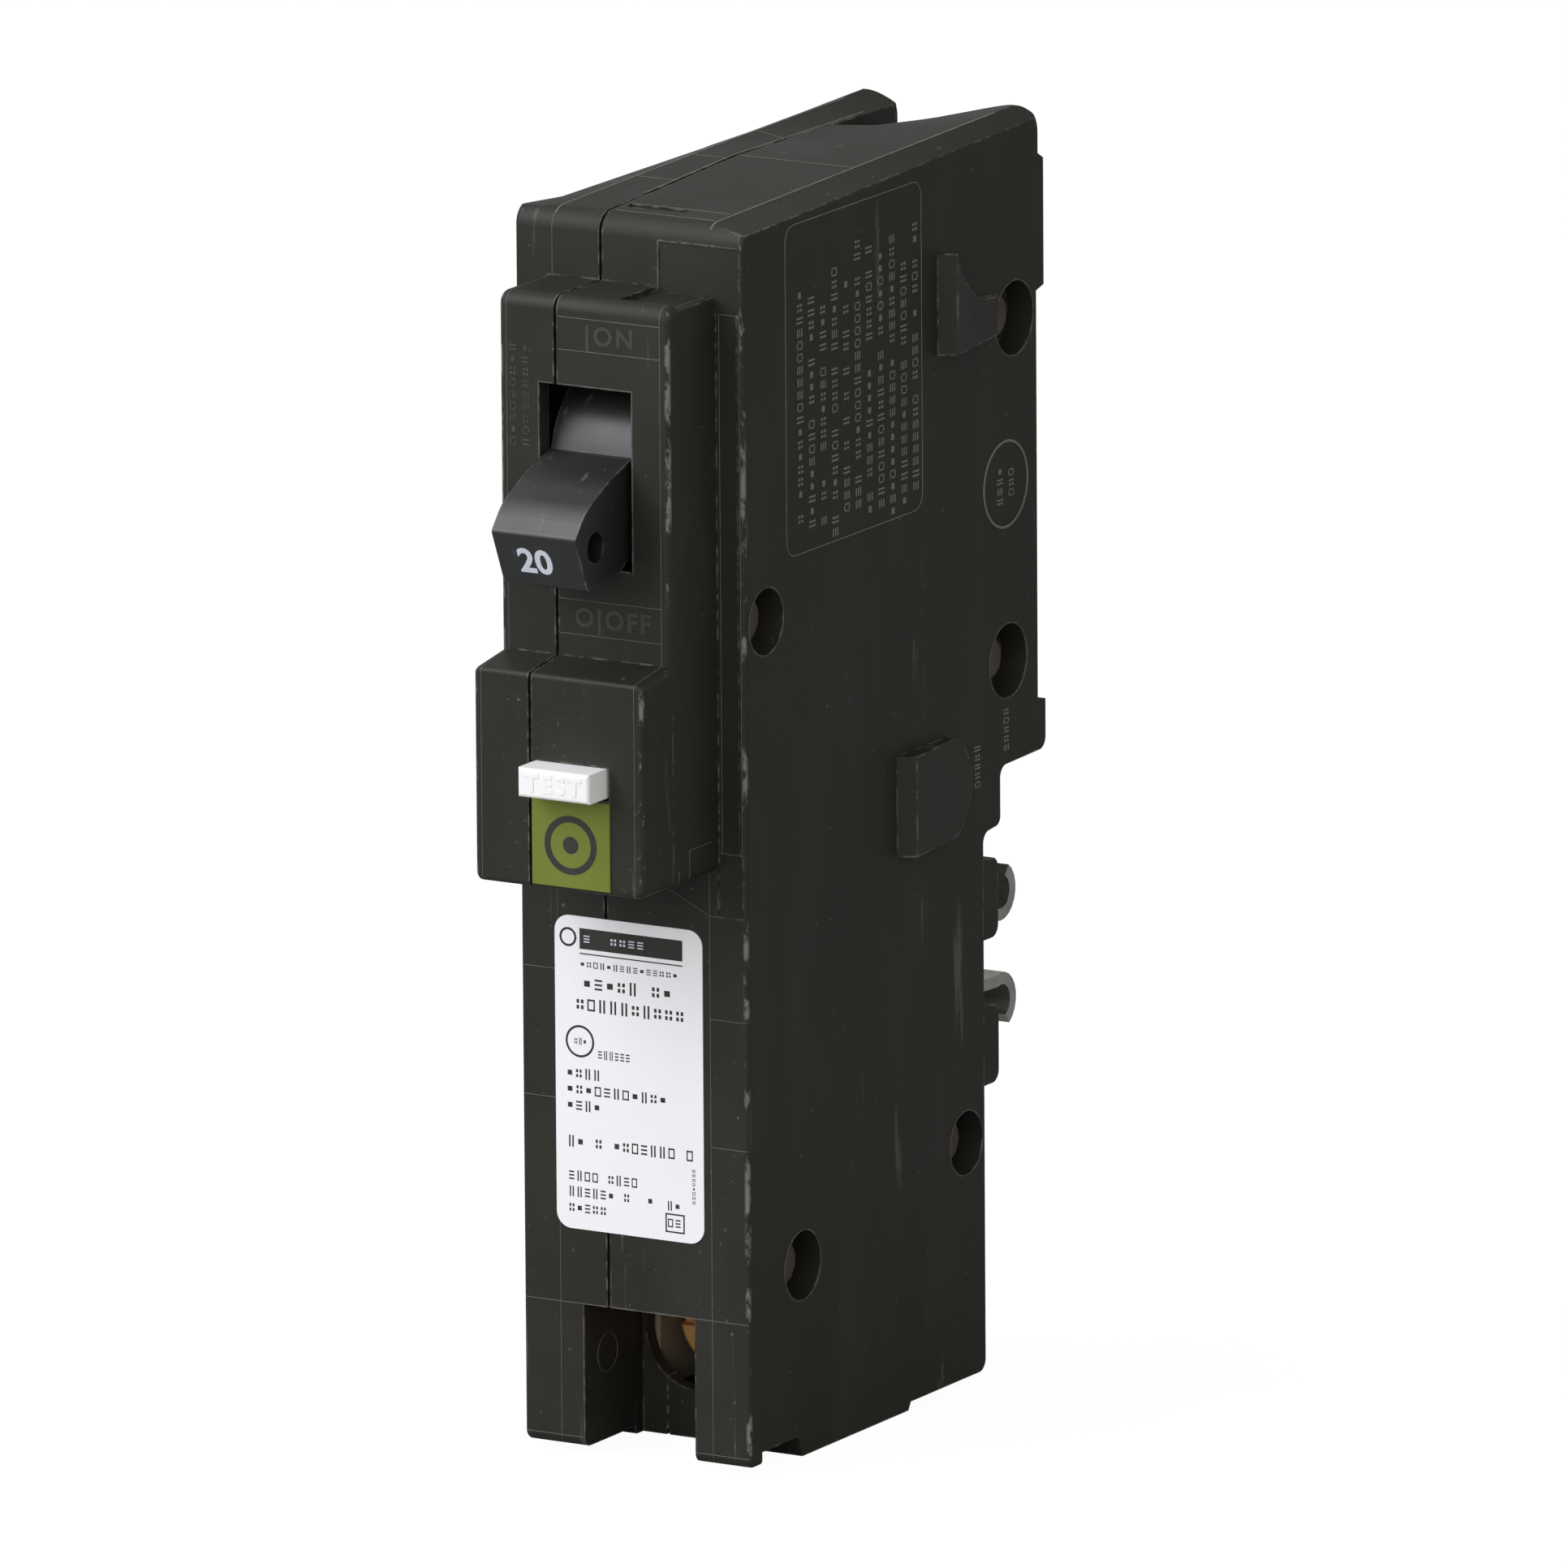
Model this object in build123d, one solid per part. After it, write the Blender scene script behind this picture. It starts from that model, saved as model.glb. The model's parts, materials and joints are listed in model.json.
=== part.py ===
from build123d import *
import math
import os

# Plug-on circuit breaker, one pole wide. Design axes, in millimetres:
# X across the pole, from the left face; Y from the body's front plane to the rear;
# Z up the length, from the feet of the front legs. Every piece is drawn in these
# axes and then shifted, so that the origin lies at the mouth of the line jaw.

# Casing
POLE_WIDTH = 25.4
SPLIT_X = 9.6
LEFT_WALL = 2.4
WALL = 1.8
SEAM_WIDTH = 0.3
SEAM_DEPTH = 0.6
TOP_FRONT_Z = 122.4
TOP_REAR_Z = 124.8
REAR_Y = 57.4
# Side outline of the body: (Y, Z, corner radius)
BODY_OUTLINE = [
    (0, 0, 1.0), (2.2, 0, 0), (2.2, 1.3, 0), (9.2, 1.3, 0), (9.9, -0.8, 0), (30.5, -0.8, 0),
    (31.0, 0, 0), (45.7, 0, 1.2), (45.7, 53.9, 1.2), (49.1, 54.2, 0.9), (49.1, 59.9, 1.2),
    (58.1, 60.1, 1.2), (58.1, 65.0, 0), (56.6, 65.2, 0), (56.6, 106.0, 0), (58.1, 106.4, 0),
    (58.1, 119.0, 0), (REAR_Y, 119.4, 0), (REAR_Y, TOP_REAR_Z, 3.0), (0, TOP_FRONT_Z, 2.0),
]
LEFT_FOOT_Y = (2.0, 9.9)
CAVITY_OUTLINE = [
    (1.8, 3.0, 0.5), (43.9, 3.0, 0.8), (43.9, 55.2, 0.5), (47.3, 55.6, 0.5), (47.3, 61.4, 0.5),
    (54.8, 62.0, 0.5), (54.8, 119.4, 0.8), (26.0, 119.4, 0), (22.0, 120.8, 0), (1.8, 120.6, 0.8),
]
BODY_EDGE = 0.5
# Bevels along the top, outside a ridge on each shell: (Y, X of the ridge, drop at the side face)
LEFT_BEVEL = [(-0.5, 4.2, 0.02), (9.0, 4.7, 1.25), (58.5, 7.4, 3.5)]
RIGHT_BEVEL = [(-0.5, 21.4, 0.8), (58.5, 24.3, 1.6)]
# Behind the front deck the top sinks between the ridges: (Y, X of the ridge, drop at the seam)
LEFT_SINK = [(26.0, 5.6, 0.02), (58.5, 7.4, 1.9)]
RIGHT_SINK = [(26.0, 22.7, 0.02), (44.0, 23.6, 1.0), (58.5, 24.3, 4.3)]
DECK_SLOT = ((10.3, 16.9), (3.6, 4.6), (121.6, 124.0))
# Shallow marks in the front face beside the housing
POCKET_DEPTH = 0.15
UNDER_NOSE_Z = 54.5
SIDE_STRIP_X = (22.2, 24.6)
SIDE_STRIP_Z = (60.8, 113.8)
DECK_PATCH_X = (16.0, 24.9)
DECK_PATCH_Z = (113.8, 120.4)
# Wedges on the right face: (Y of the steep front, Y where it runs out, Z range)
LUG_HEIGHT = 1.75
LUG_RAMP = 1.0
LUG_TAIL = 0.2
LUG_UPPER = (37.3, 49.0, (103.1, 113.2))
LUG_LOWER = (28.9, 44.2, (54.9, 64.9))
LUG_POCKET_DEPTH = 1.9
LUG_POCKET_GAP = 0.4
# Two-level housing on the front: upper level round the handle, lower level round the test button
NOSE_X = (3.2, 22.2)
UPPER_NOSE_Y = -8.7
LOWER_NOSE_Y = -14.05
NOSE_Z = (59.0, 115.9)
NOSE_STEP_Z = (80.0, 80.8)
NOSE_CORNER = 1.3
NOSE_STEP_CORNER = 0.5
NOSE_EDGE = 0.9
NOSE_SHOULDER = (15.7, -6.9, 115.4)

# Rivets that hold the shells together: (Y, Z, recess radius)
RIVETS = [
    (4.0, 83.2, 3.3), (52.3, 104.1, 3.7), (50.8, 70.2, 3.7), (42.1, 23.6, 3.2), (10.2, 18.2, 3.45),
]
RIVET_SHAFT = 1.4
RIVET_HEAD = 2.4
RIVET_HEAD_HEIGHT = 1.0
RIVET_BOSS_WALL = 1.2
RIVET_COLUMN = 2.6
RIGHT_RECESS = 3.0
LEFT_RECESS = 2.6
PIN_BOSS = 3.2
CRADLE_BOSS = 2.6
PRESS_CLEARANCE = 0.02
RUNNING_CLEARANCE = 0.06

# Handle
HANDLE_PIVOT = (2.0, 98.5)
HANDLE_X = (8.05, 17.35)
DRUM_RADIUS = 9.2
HUB_RADIUS = 3.4
HANDLE_PIN_RADIUS = 1.5
HANDLE_TRAVEL = 34.0
HANDLE_TIE_HOLE = (-14.5, 93.2, 1.5)
WINDOW_X = (7.8, 18.0)
WINDOW_Z = (89.7, 107.3)

# Contact arm: carried by the handle, drawn along its own line and then turned to its rest angle
ARM_X = (11.6, 13.2)
ARM_SEAT = (8.5, 93.0)
ARM_EARS_X = ((9.8, 11.3), (13.5, 15.0))
ARM_EAR_RADIUS = 2.1
ARM_EYE_RADIUS = 2.0
ARM_PIN_RADIUS = 0.8
ARM_TOP = 1.2
HOOK_RADIUS = 0.5
ARM_OFF_ANGLE = -12.0
ARM_ON_ANGLE = 5.0
ARM_CONTACT_REACH = 27.0
CONTACT_RADIUS = 2.0
CONTACT_THICKNESS = 1.0
CONTACT_GAP = 0.08

# Line side
STAB_X = 12.0
STAB_SLOT_HALF = 2.2
STAB_SLOT_Z = 107.5
STAB_WALL_X = (7.9, 9.1)
JAW_Z = (107.2, 119.0)
JAW_MOUTH = (57.4, 114.0)
JAW_ROOT_Y = (38.4, 39.6)
JAW_CLIP_Z = (109.5, 115.5)
STRAP_X = (9.9, 14.1)
STRAP_THICKNESS = 1.2
RISER_Z = (96.6, 108.5)

# Cradle, latch and magnetic trip
CRADLE_X = (15.2, 16.6)
CRADLE_PIVOT = (33.5, 84.5)
CRADLE_PIN_RADIUS = 1.3
CRADLE_HOOK = (22.0, 99.4)
ARMATURE_PIVOT = (10.0, 57.5)
ARMATURE_PIN_RADIUS = 0.6
ARMATURE_X = (10.4, 18.6)
ARMATURE_Y = (9.4, 10.6)
ARMATURE_Z = (56.6, 82.2)
YOKE_X = (9.4, 19.6)
YOKE_FRONT_Y = (2.4, 3.4)
YOKE_Z = (56.0, 70.0)
YOKE_CHEEK = 0.8
BIMETAL_X = (11.5, 17.5)
BIMETAL_Y = (4.0, 5.0)
BIMETAL_Z = (32.0, 76.0)
CALIBRATION = (14.5, 37.5)
CALIBRATION_RADIUS = 1.2
STRAP_Z = (30.2, 31.4)

# Arc chamber
ARC_PLATES = 7
ARC_PLATE_LOW = 79.6
ARC_PLATE_PITCH = 2.5
ARC_PLATE_THICKNESS = 0.9
ARC_PLATE_X = (9.15, 21.05)

# Test button
BUTTON_X = (10.2, 18.1)
BUTTON_Z = (68.6, 71.5)
BUTTON_FRONT = -17.45
BUTTON_CENTRE = (14.15, 70.05)
BUTTON_STEM = 1.5
BUTTON_OPENING_X = (9.6, 18.4)
BUTTON_OPENING_Z = (68.3, 71.6)
CARRIER_Y = (-4.6, -3.4)
CARRIER_FEET_Z = (62.6, 76.4)

# Electronic trip
BOARD_X = (2.9, 4.0)
SOLENOID = (16.2, 68.0)
SOLENOID_Y = (22.0, 38.0)
PLUNGER_RADIUS = 1.6
SENSOR = (15.4, 26.0)
SENSOR_Z = (19.2, 27.8)
DIVIDER_X = (7.0, 7.7)
LEAD_HOLE = (28.0, 51.0)
SOLENOID_HALF = 5.4
BOBBIN_FLANGE = 0.9
BOBBIN_CORE = 2.4
BOARD_Y = (3.5, 43.0)
BOARD_Z = (25.0, 77.4)

# Load terminal
TERMINAL_X = 13.0
TERMINAL_Z = 9.8
NOTCH_X = (6.8, 19.2)
NOTCH_TOP = 14.3
NOTCH_DEPTH = 11.1
NOTCH_WALL = 1.6
DRIVER_HOLE = 5.8
LUG_X = (8.2, 17.8)
LUG_Y = (19.5, 33.5)
LUG_Z = (3.4, 16.0)
WIRE_Y = 27.5
WIRE_RADIUS = 3.0
WIRE_ENTRY_X = (9.2, 16.8)
WIRE_ENTRY_Y = (23.6, 31.4)
SCREW_FACE_Y = 15.3
SCREW_HEAD = 4.6
SCREW_HEAD_HEIGHT = 2.6
SCREW_RADIUS = 2.2
SCREW_SLOT = (0.6, 1.3)
SCREW_CROSS = 2.2

# Neutral jaw
NEUTRAL_X = (12.6, 22.5)
NEUTRAL_Z = 40.5
NEUTRAL_ROOT_Y = (36.0, 37.2)
NEUTRAL_OPENING_X = (12.2, 22.8)
NEUTRAL_OPENING_Z = (33.2, 48.0)
FINGER_THICKNESS = 1.2
LIP_CENTRE = (54.2, 5.5)
LIP_RADIUS = 2.3
GUARD_REAR = 49.1
GUARDS_Z = [(28.4, 36.3), (43.0, 51.0)]
GUARDS_X = [(7.0, 9.4), (22.9, 25.1)]


def box(x, y, z):
    size = (x[1] - x[0], y[1] - y[0], z[1] - z[0])
    return Pos(x[0] + size[0] / 2, y[0] + size[1] / 2, z[0] + size[2] / 2) * Box(*size)


def rod_x(centre, radius, x):
    return Pos((x[0] + x[1]) / 2, centre[0], centre[1]) * Rot(0, 90, 0) * Cylinder(radius, x[1] - x[0])


def rod_y(centre, radius, y):
    return Pos(centre[0], (y[0] + y[1]) / 2, centre[1]) * Rot(90, 0, 0) * Cylinder(radius, y[1] - y[0])


def rod_z(centre, radius, z):
    return Pos(centre[0], centre[1], (z[0] + z[1]) / 2) * Cylinder(radius, z[1] - z[0])


def outline(corners):
    # Closed face from (u, v, radius) corners; a radius of 0 leaves the corner sharp
    edges = []
    ends = []
    for index, (u, v, radius) in enumerate(corners):
        here = Vector(u, v)
        back = (Vector(*corners[index - 1][:2]) - here).normalized()
        ahead = (Vector(*corners[(index + 1) % len(corners)][:2]) - here).normalized()
        if radius == 0:
            ends.append((here, here))
            continue
        half = math.radians(back.get_angle(ahead)) / 2
        start = here + back * (radius / math.tan(half))
        finish = here + ahead * (radius / math.tan(half))
        centre = here + (back + ahead).normalized() * (radius / math.sin(half))
        middle = centre + (here - centre).normalized() * radius
        edges.append(ThreePointArc(start, middle, finish))
        ends.append((start, finish))
    for index, (start, _) in enumerate(ends):
        edges.append(Line(ends[index - 1][1], start))
    return make_face(edges)


def side(corners, x):
    # An outline in (Y, Z), as thick as the stretch of X
    return extrude(Plane.YZ.offset(x[0]) * outline(corners), x[1] - x[0], dir=(1, 0, 0))


def plan(corners, z):
    # An outline in (X, Y), as tall as the stretch of Z
    return extrude(Plane.XY.offset(z[0]) * outline(corners), z[1] - z[0], dir=(0, 0, 1))


def sharp(points):
    return [(u, v, 0) for u, v in points]


def strip(points, thickness):
    # Corners of a bent strip: its middle line, offset half the thickness to each side
    lines = []
    for sign in (1, -1):
        row = []
        for index, (u, v) in enumerate(points):
            before = points[max(index - 1, 0)]
            after = points[min(index + 1, len(points) - 1)]
            along = (Vector(*after) - Vector(*before)).normalized()
            row.append((u - sign * along.Y * thickness / 2, v + sign * along.X * thickness / 2, 0))
        lines.append(row)
    return lines[0] + lines[1][::-1]


def nose_outline(inset):
    lower = NOSE_Z[0] + inset
    upper = NOSE_Z[1] - inset
    root = 1.0 + 2 * inset
    return [
        (root, lower, 0), (root, upper, 0), (UPPER_NOSE_Y + inset, upper, NOSE_CORNER),
        (UPPER_NOSE_Y + inset, NOSE_STEP_Z[1] - inset, 0),
        (LOWER_NOSE_Y + inset, NOSE_STEP_Z[0] - inset, NOSE_STEP_CORNER),
        (LOWER_NOSE_Y + inset, lower, NOSE_STEP_CORNER),
    ]


def nose():
    block = side(nose_outline(0), NOSE_X)
    front = [edge for edge in block.edges() if edge.center().Y < 0 and abs(edge.center().X - 12.7) > 9]
    block = fillet(front, NOSE_EDGE)
    x, y, z = NOSE_SHOULDER
    return block - box((x, NOSE_X[1] + 1), (y, 0), (z, NOSE_Z[1] + 1))


def top_z(y):
    # Height of the casing's straight top edge at a depth
    return TOP_FRONT_Z + (TOP_REAR_Z - TOP_FRONT_Z) * y / REAR_Y


def body():
    block = side(BODY_OUTLINE, (0, POLE_WIDTH)) + box((0, NOTCH_X[0]), LEFT_FOOT_Y, (0, 1.4))
    half = POLE_WIDTH / 2
    corner = [
        edge for edge in block.edges()
        if abs(edge.center().Y) < 0.01 and edge.length > 100 and abs(edge.center().X - half) > half - 0.1
    ]
    return fillet(corner, BODY_EDGE)


def lug_wedge(lug):
    # Steep in front, running out flush to the rear
    front, rear, z = lug
    root = POLE_WIDTH - 0.4
    top = (POLE_WIDTH + LUG_HEIGHT, front + LUG_RAMP)
    tail = (POLE_WIDTH + LUG_TAIL, rear)
    return plan(sharp([(root, front), (POLE_WIDTH, front), top, tail, (root, rear)]), z)


def side_lugs():
    reach = (POLE_WIDTH - 1, POLE_WIDTH + LUG_HEIGHT + 1)
    front, rear, (low, high) = LUG_UPPER
    # behind its front wall the upper wedge dips in a hollow curve towards the rivet
    crest = front + LUG_RAMP
    profile = [
        (front - 1, low, 0), (rear, low, 0), (rear, low + 3.8, 0), (crest + 4.6, low + 4.6, 9.0),
        (crest + 0.7, high - 1.7, 0.5), (crest, high, 0), (front - 1, high, 0),
    ]
    upper = lug_wedge(LUG_UPPER) & side(profile, reach)
    # the lower wedge ends in a half round
    front, rear, (low, high) = LUG_LOWER
    radius = (high - low) / 2
    shoulder = rear - radius * 0.8
    profile = [
        (front - 1, low, 0), (shoulder, low, radius * 0.6), (rear, low + radius, radius * 0.8),
        (shoulder, high, radius * 0.6), (front - 1, high, 0),
    ]
    return [upper, lug_wedge(LUG_LOWER) & side(profile, reach)]


def lug_pockets():
    # Hollows in the left face, where the next breaker's side lugs sit
    pieces = []
    for front, rear, z in (LUG_UPPER, LUG_LOWER):
        y = (front - LUG_POCKET_GAP, rear + LUG_POCKET_GAP)
        height = (z[0] - LUG_POCKET_GAP, z[1] + LUG_POCKET_GAP)
        floor = [(LUG_POCKET_DEPTH, y[0]), (LUG_POCKET_DEPTH, y[0] + 3.0)]
        pieces.append(plan(sharp([(-1, y[0]), *floor, (0, y[1]), (-1, y[1])]), height))
    return pieces


def guards():
    # Plastic cheeks above and below the neutral bar, on both sides of the jaw
    root = 43.5
    pieces = []
    for x in GUARDS_X:
        for low, high in GUARDS_Z:
            corners = [(root, low, 0), (GUARD_REAR, low, 1.2), (GUARD_REAR, high, 1.2), (root, high, 0)]
            pieces.append(side(corners, x))
    return pieces


def front_pockets():
    depth = (-0.01, POCKET_DEPTH)
    return [
        box(DECK_PATCH_X, depth, DECK_PATCH_Z),
        box(SIDE_STRIP_X, depth, SIDE_STRIP_Z),
        box((NOSE_X[1], DECK_PATCH_X[1]), depth, (UNDER_NOSE_Z, SIDE_STRIP_Z[0])),
    ]


def ruled(sections):
    # Straight-sided solids between (X, Z) outlines that stand one behind the other
    faces = []
    for y, corners in sections:
        faces.append(make_face(Polyline(*[(x, y, z) for x, z in corners], close=True)))
    return [loft([front, rear], ruled=True) for front, rear in zip(faces, faces[1:])]


def top_cuts(stations, side_x):
    # Everything above a plane that falls from the ridge to side_x
    above = TOP_REAR_Z + 3
    sections = []
    for y, ridge, drop in stations:
        low = top_z(y) - drop
        sections.append((y, [(side_x, low), (side_x, above), (ridge, above), (ridge, top_z(y))]))
    return ruled(sections)


def shaped_top():
    pieces = top_cuts(LEFT_BEVEL, 0) + top_cuts(RIGHT_BEVEL, POLE_WIDTH)
    return pieces + top_cuts(LEFT_SINK, SPLIT_X) + top_cuts(RIGHT_SINK, SPLIT_X)


def casing():
    shape = body() + nose()
    for piece in side_lugs() + guards():
        shape += piece
    for piece in front_pockets() + lug_pockets() + shaped_top() + [box(*DECK_SLOT)]:
        shape -= piece
    return shape


def cavity():
    inside = side(CAVITY_OUTLINE, (LEFT_WALL, POLE_WIDTH - WALL))
    inside += side(nose_outline(WALL), (NOSE_X[0] + WALL, NOSE_X[1] - WALL))
    notch_x = (NOTCH_X[0] - NOTCH_WALL, NOTCH_X[1] + NOTCH_WALL)
    inside -= box(notch_x, (0, NOTCH_DEPTH + NOTCH_WALL), (0, NOTCH_TOP + NOTCH_WALL))
    # wall between the electronics and the stab slot
    inside -= box(STAB_WALL_X, (34, 60), (104, 126))
    return inside


def bosses():
    pieces = []
    for y, z, radius in RIVETS:
        pieces.append(rod_x((y, z), RIVET_COLUMN, (0, POLE_WIDTH)))
        wide = radius + RIVET_BOSS_WALL
        pieces.append(rod_x((y, z), wide, (POLE_WIDTH - RIGHT_RECESS - RIVET_BOSS_WALL, POLE_WIDTH)))
        pieces.append(rod_x((y, z), wide, (0, LEFT_RECESS + RIVET_BOSS_WALL)))
    side_play = 0.55
    pieces.append(rod_x(HANDLE_PIVOT, PIN_BOSS, (HANDLE_X[1] + side_play, POLE_WIDTH - 1)))
    pieces.append(rod_x(HANDLE_PIVOT, PIN_BOSS, (1, HANDLE_X[0] - side_play)))
    pieces.append(rod_x(CRADLE_PIVOT, CRADLE_BOSS, (CRADLE_X[1] + 0.6, POLE_WIDTH - 1)))
    return pieces


def holes():
    pieces = []
    for y, z, radius in RIVETS:
        pieces.append(rod_x((y, z), RIVET_SHAFT + PRESS_CLEARANCE, (-1, POLE_WIDTH + 1)))
        pieces.append(rod_x((y, z), radius, (POLE_WIDTH - RIGHT_RECESS, POLE_WIDTH + 1)))
        pieces.append(rod_x((y, z), radius, (-1, LEFT_RECESS)))
    pieces.append(rod_x(HANDLE_PIVOT, HANDLE_PIN_RADIUS + PRESS_CLEARANCE, (4.4, 21.6)))
    pieces.append(rod_x(CRADLE_PIVOT, CRADLE_PIN_RADIUS + PRESS_CLEARANCE, (10, 22.0)))
    pieces.append(box(WINDOW_X, (-10, -6), WINDOW_Z))
    pieces.append(box(BUTTON_OPENING_X, (-15, -12), BUTTON_OPENING_Z))
    pieces.append(box(NOTCH_X, (-1, NOTCH_DEPTH), (-1, NOTCH_TOP)))
    pieces.append(rod_y((TERMINAL_X, TERMINAL_Z), DRIVER_HOLE, (NOTCH_DEPTH - 1, 14)))
    pieces.append(box(WIRE_ENTRY_X, WIRE_ENTRY_Y, (-2, LUG_Z[0] + 0.1)))
    slot = (STAB_X - STAB_SLOT_HALF, STAB_X + STAB_SLOT_HALF)
    pieces.append(box(slot, (45, 60), (STAB_SLOT_Z, 127)))
    pieces.append(box(NEUTRAL_OPENING_X, (40, 47), NEUTRAL_OPENING_Z))
    return pieces


def shells():
    outer = casing()
    shape = outer - cavity()
    for piece in bosses():
        shape += piece & outer
    for piece in holes():
        shape -= piece
    seam = box((SPLIT_X - SEAM_WIDTH / 2, SPLIT_X + SEAM_WIDTH / 2), (-30, 80), (-20, 150))
    core = offset(outline(BODY_OUTLINE), amount=-SEAM_DEPTH, kind=Kind.INTERSECTION)
    core = extrude(Plane.YZ * core, POLE_WIDTH, dir=(1, 0, 0))
    core += side(nose_outline(SEAM_DEPTH), NOSE_X)
    seam -= core
    shape -= seam
    left = shape & box((-5, SPLIT_X), (-30, 80), (-20, 150))
    right = shape & box((SPLIT_X, 40), (-30, 80), (-20, 150))
    return left, right


def divider_plate():
    # clear of the casing's walls, the terminal notch, the rivet columns and the handle boss
    through = (DIVIDER_X[0] - 1, DIVIDER_X[1] + 1)
    plate = offset(outline(CAVITY_OUTLINE), amount=-0.15)
    plate = extrude(Plane.YZ.offset(DIVIDER_X[0]) * plate, DIVIDER_X[1] - DIVIDER_X[0], dir=(1, 0, 0))
    plate -= box(through, (0, NOTCH_DEPTH + NOTCH_WALL + 0.3), (0, NOTCH_TOP + NOTCH_WALL + 0.3))
    for y, z, _ in RIVETS:
        plate -= rod_x((y, z), RIVET_COLUMN + 0.2, through)
    plate -= rod_x(HANDLE_PIVOT, PIN_BOSS + 0.3, through)
    plate -= rod_x(LEAD_HOLE, 1.4, through)
    return plate


def case_rivets():
    pieces = []
    for y, z, _ in RIVETS:
        floor = (LEFT_RECESS, POLE_WIDTH - RIGHT_RECESS)
        rivet = rod_x((y, z), RIVET_SHAFT, floor)
        rivet += rod_x((y, z), RIVET_HEAD, (floor[0] - RIVET_HEAD_HEIGHT, floor[0]))
        head = rod_x((y, z), RIVET_HEAD, (floor[1], floor[1] + RIVET_HEAD_HEIGHT))
        rim = head.edges().sort_by(Axis.X)[-1]
        rivet += chamfer(rim, 0.45)
        pieces.append(rivet)
    return pieces


def lever_outline():
    return [
        (-3.0, 100.6, 0), (-7.7, 100.5, 0), (-12.2, 99.0, 15.0), (-16.4, 96.9, 5.5), (-18.3, 94.6, 0.5),
        (-15.9, 89.1, 0.4), (-9.7, 89.9, 0), (-8.0, 91.2, 0), (-3.0, 93.0, 0),
    ]


def handle():
    drum = rod_x(HANDLE_PIVOT, DRUM_RADIUS, HANDLE_X) & box((0, 30), (-20, 5.0), (80, 120))
    shape = drum + side(lever_outline(), HANDLE_X) + rod_x(HANDLE_PIVOT, HUB_RADIUS, HANDLE_X)
    y, z = ARM_SEAT
    for x in ARM_EARS_X:
        ear = side(sharp([(3.4, 100.0), (1.2, 96.5), (y - 1.6, z - 1.4), (y + 1.4, z + 1.6)]), x)
        shape += ear + rod_x(ARM_SEAT, ARM_EAR_RADIUS, x)
    shape -= rod_x(ARM_SEAT, ARM_PIN_RADIUS + PRESS_CLEARANCE, HANDLE_X)
    shape -= rod_x(HANDLE_PIVOT, HANDLE_PIN_RADIUS + RUNNING_CLEARANCE, HANDLE_X)
    shape -= rod_x(HANDLE_TIE_HOLE[:2], HANDLE_TIE_HOLE[2], HANDLE_X)
    return shape


def arm_end(shape, angle, pivot):
    # Lays a piece drawn along the arm's own line, from (0, 0), at a pivot and an angle
    return Pos(0, *pivot) * Rot(angle, 0, 0) * shape


def arm_on_seat():
    # Where the handle carries the arm's pin when it is switched on
    reach = Vector(ARM_SEAT[0] - HANDLE_PIVOT[0], ARM_SEAT[1] - HANDLE_PIVOT[1])
    moved = reach.rotate(Axis.Z, -HANDLE_TRAVEL)
    return (HANDLE_PIVOT[0] + moved.X, HANDLE_PIVOT[1] + moved.Y)


def contact_arm():
    corners = [(0, -1.7), (26.0, -1.3), (28.8, -0.4), (28.8, ARM_TOP), (18, ARM_TOP), (0, 1.9)]
    tip = box((10.3, 14.5), (24.6, 29.2), (-0.3, ARM_TOP))
    shape = side(sharp(corners), ARM_X) + tip + rod_x((0, 0), ARM_EYE_RADIUS, ARM_X)
    shape -= rod_x((0, 0), ARM_PIN_RADIUS + RUNNING_CLEARANCE, ARM_X)
    shape -= rod_x((14.0, 0), HOOK_RADIUS, ARM_X)
    return arm_end(shape, ARM_OFF_ANGLE, ARM_SEAT)


def contact_disc(low):
    mid = (ARM_X[0] + ARM_X[1]) / 2
    return rod_z((mid, ARM_CONTACT_REACH), CONTACT_RADIUS, (low, low + CONTACT_THICKNESS))


def moving_contact():
    return arm_end(contact_disc(ARM_TOP), ARM_OFF_ANGLE, ARM_SEAT)


def fixed_contact():
    low = ARM_TOP + CONTACT_THICKNESS + CONTACT_GAP
    return arm_end(contact_disc(low), ARM_ON_ANGLE, arm_on_seat())


def line_strap():
    low = ARM_TOP + 2 * CONTACT_THICKNESS + CONTACT_GAP
    tongue = box(STRAP_X, (24.3, 34.4), (low, low + STRAP_THICKNESS))
    riser = box(STRAP_X, (JAW_ROOT_Y[0] - STRAP_THICKNESS, JAW_ROOT_Y[0]), RISER_Z)
    return arm_end(tongue, ARM_ON_ANGLE, arm_on_seat()) + riser


def line_jaw():
    shape = box(STRAP_X, JAW_ROOT_Y, JAW_Z)
    leaf = [
        (9.9, 39.0), (9.95, 44.0), (10.6, 50.0), (9.9, 54.0),
        (10.8, 54.0), (11.45, 50.0), (10.85, 44.0), (10.8, 39.0),
    ]
    for sign in (1, -1):
        shape += plan(sharp([(STAB_X + sign * (x - STAB_X), y) for x, y in leaf]), JAW_Z)
    return shape


def line_jaw_clip():
    shape = box((9.3, 14.7), (37.7, 38.3), JAW_CLIP_Z)
    arm = [(9.3, 37.7), (9.35, 45.5), (10.0, 50.0), (10.5, 50.0), (9.8, 44.8), (9.8, 37.7)]
    for sign in (1, -1):
        shape += plan(sharp([(STAB_X + sign * (x - STAB_X), y) for x, y in arm]), JAW_CLIP_Z)
    return shape


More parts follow.
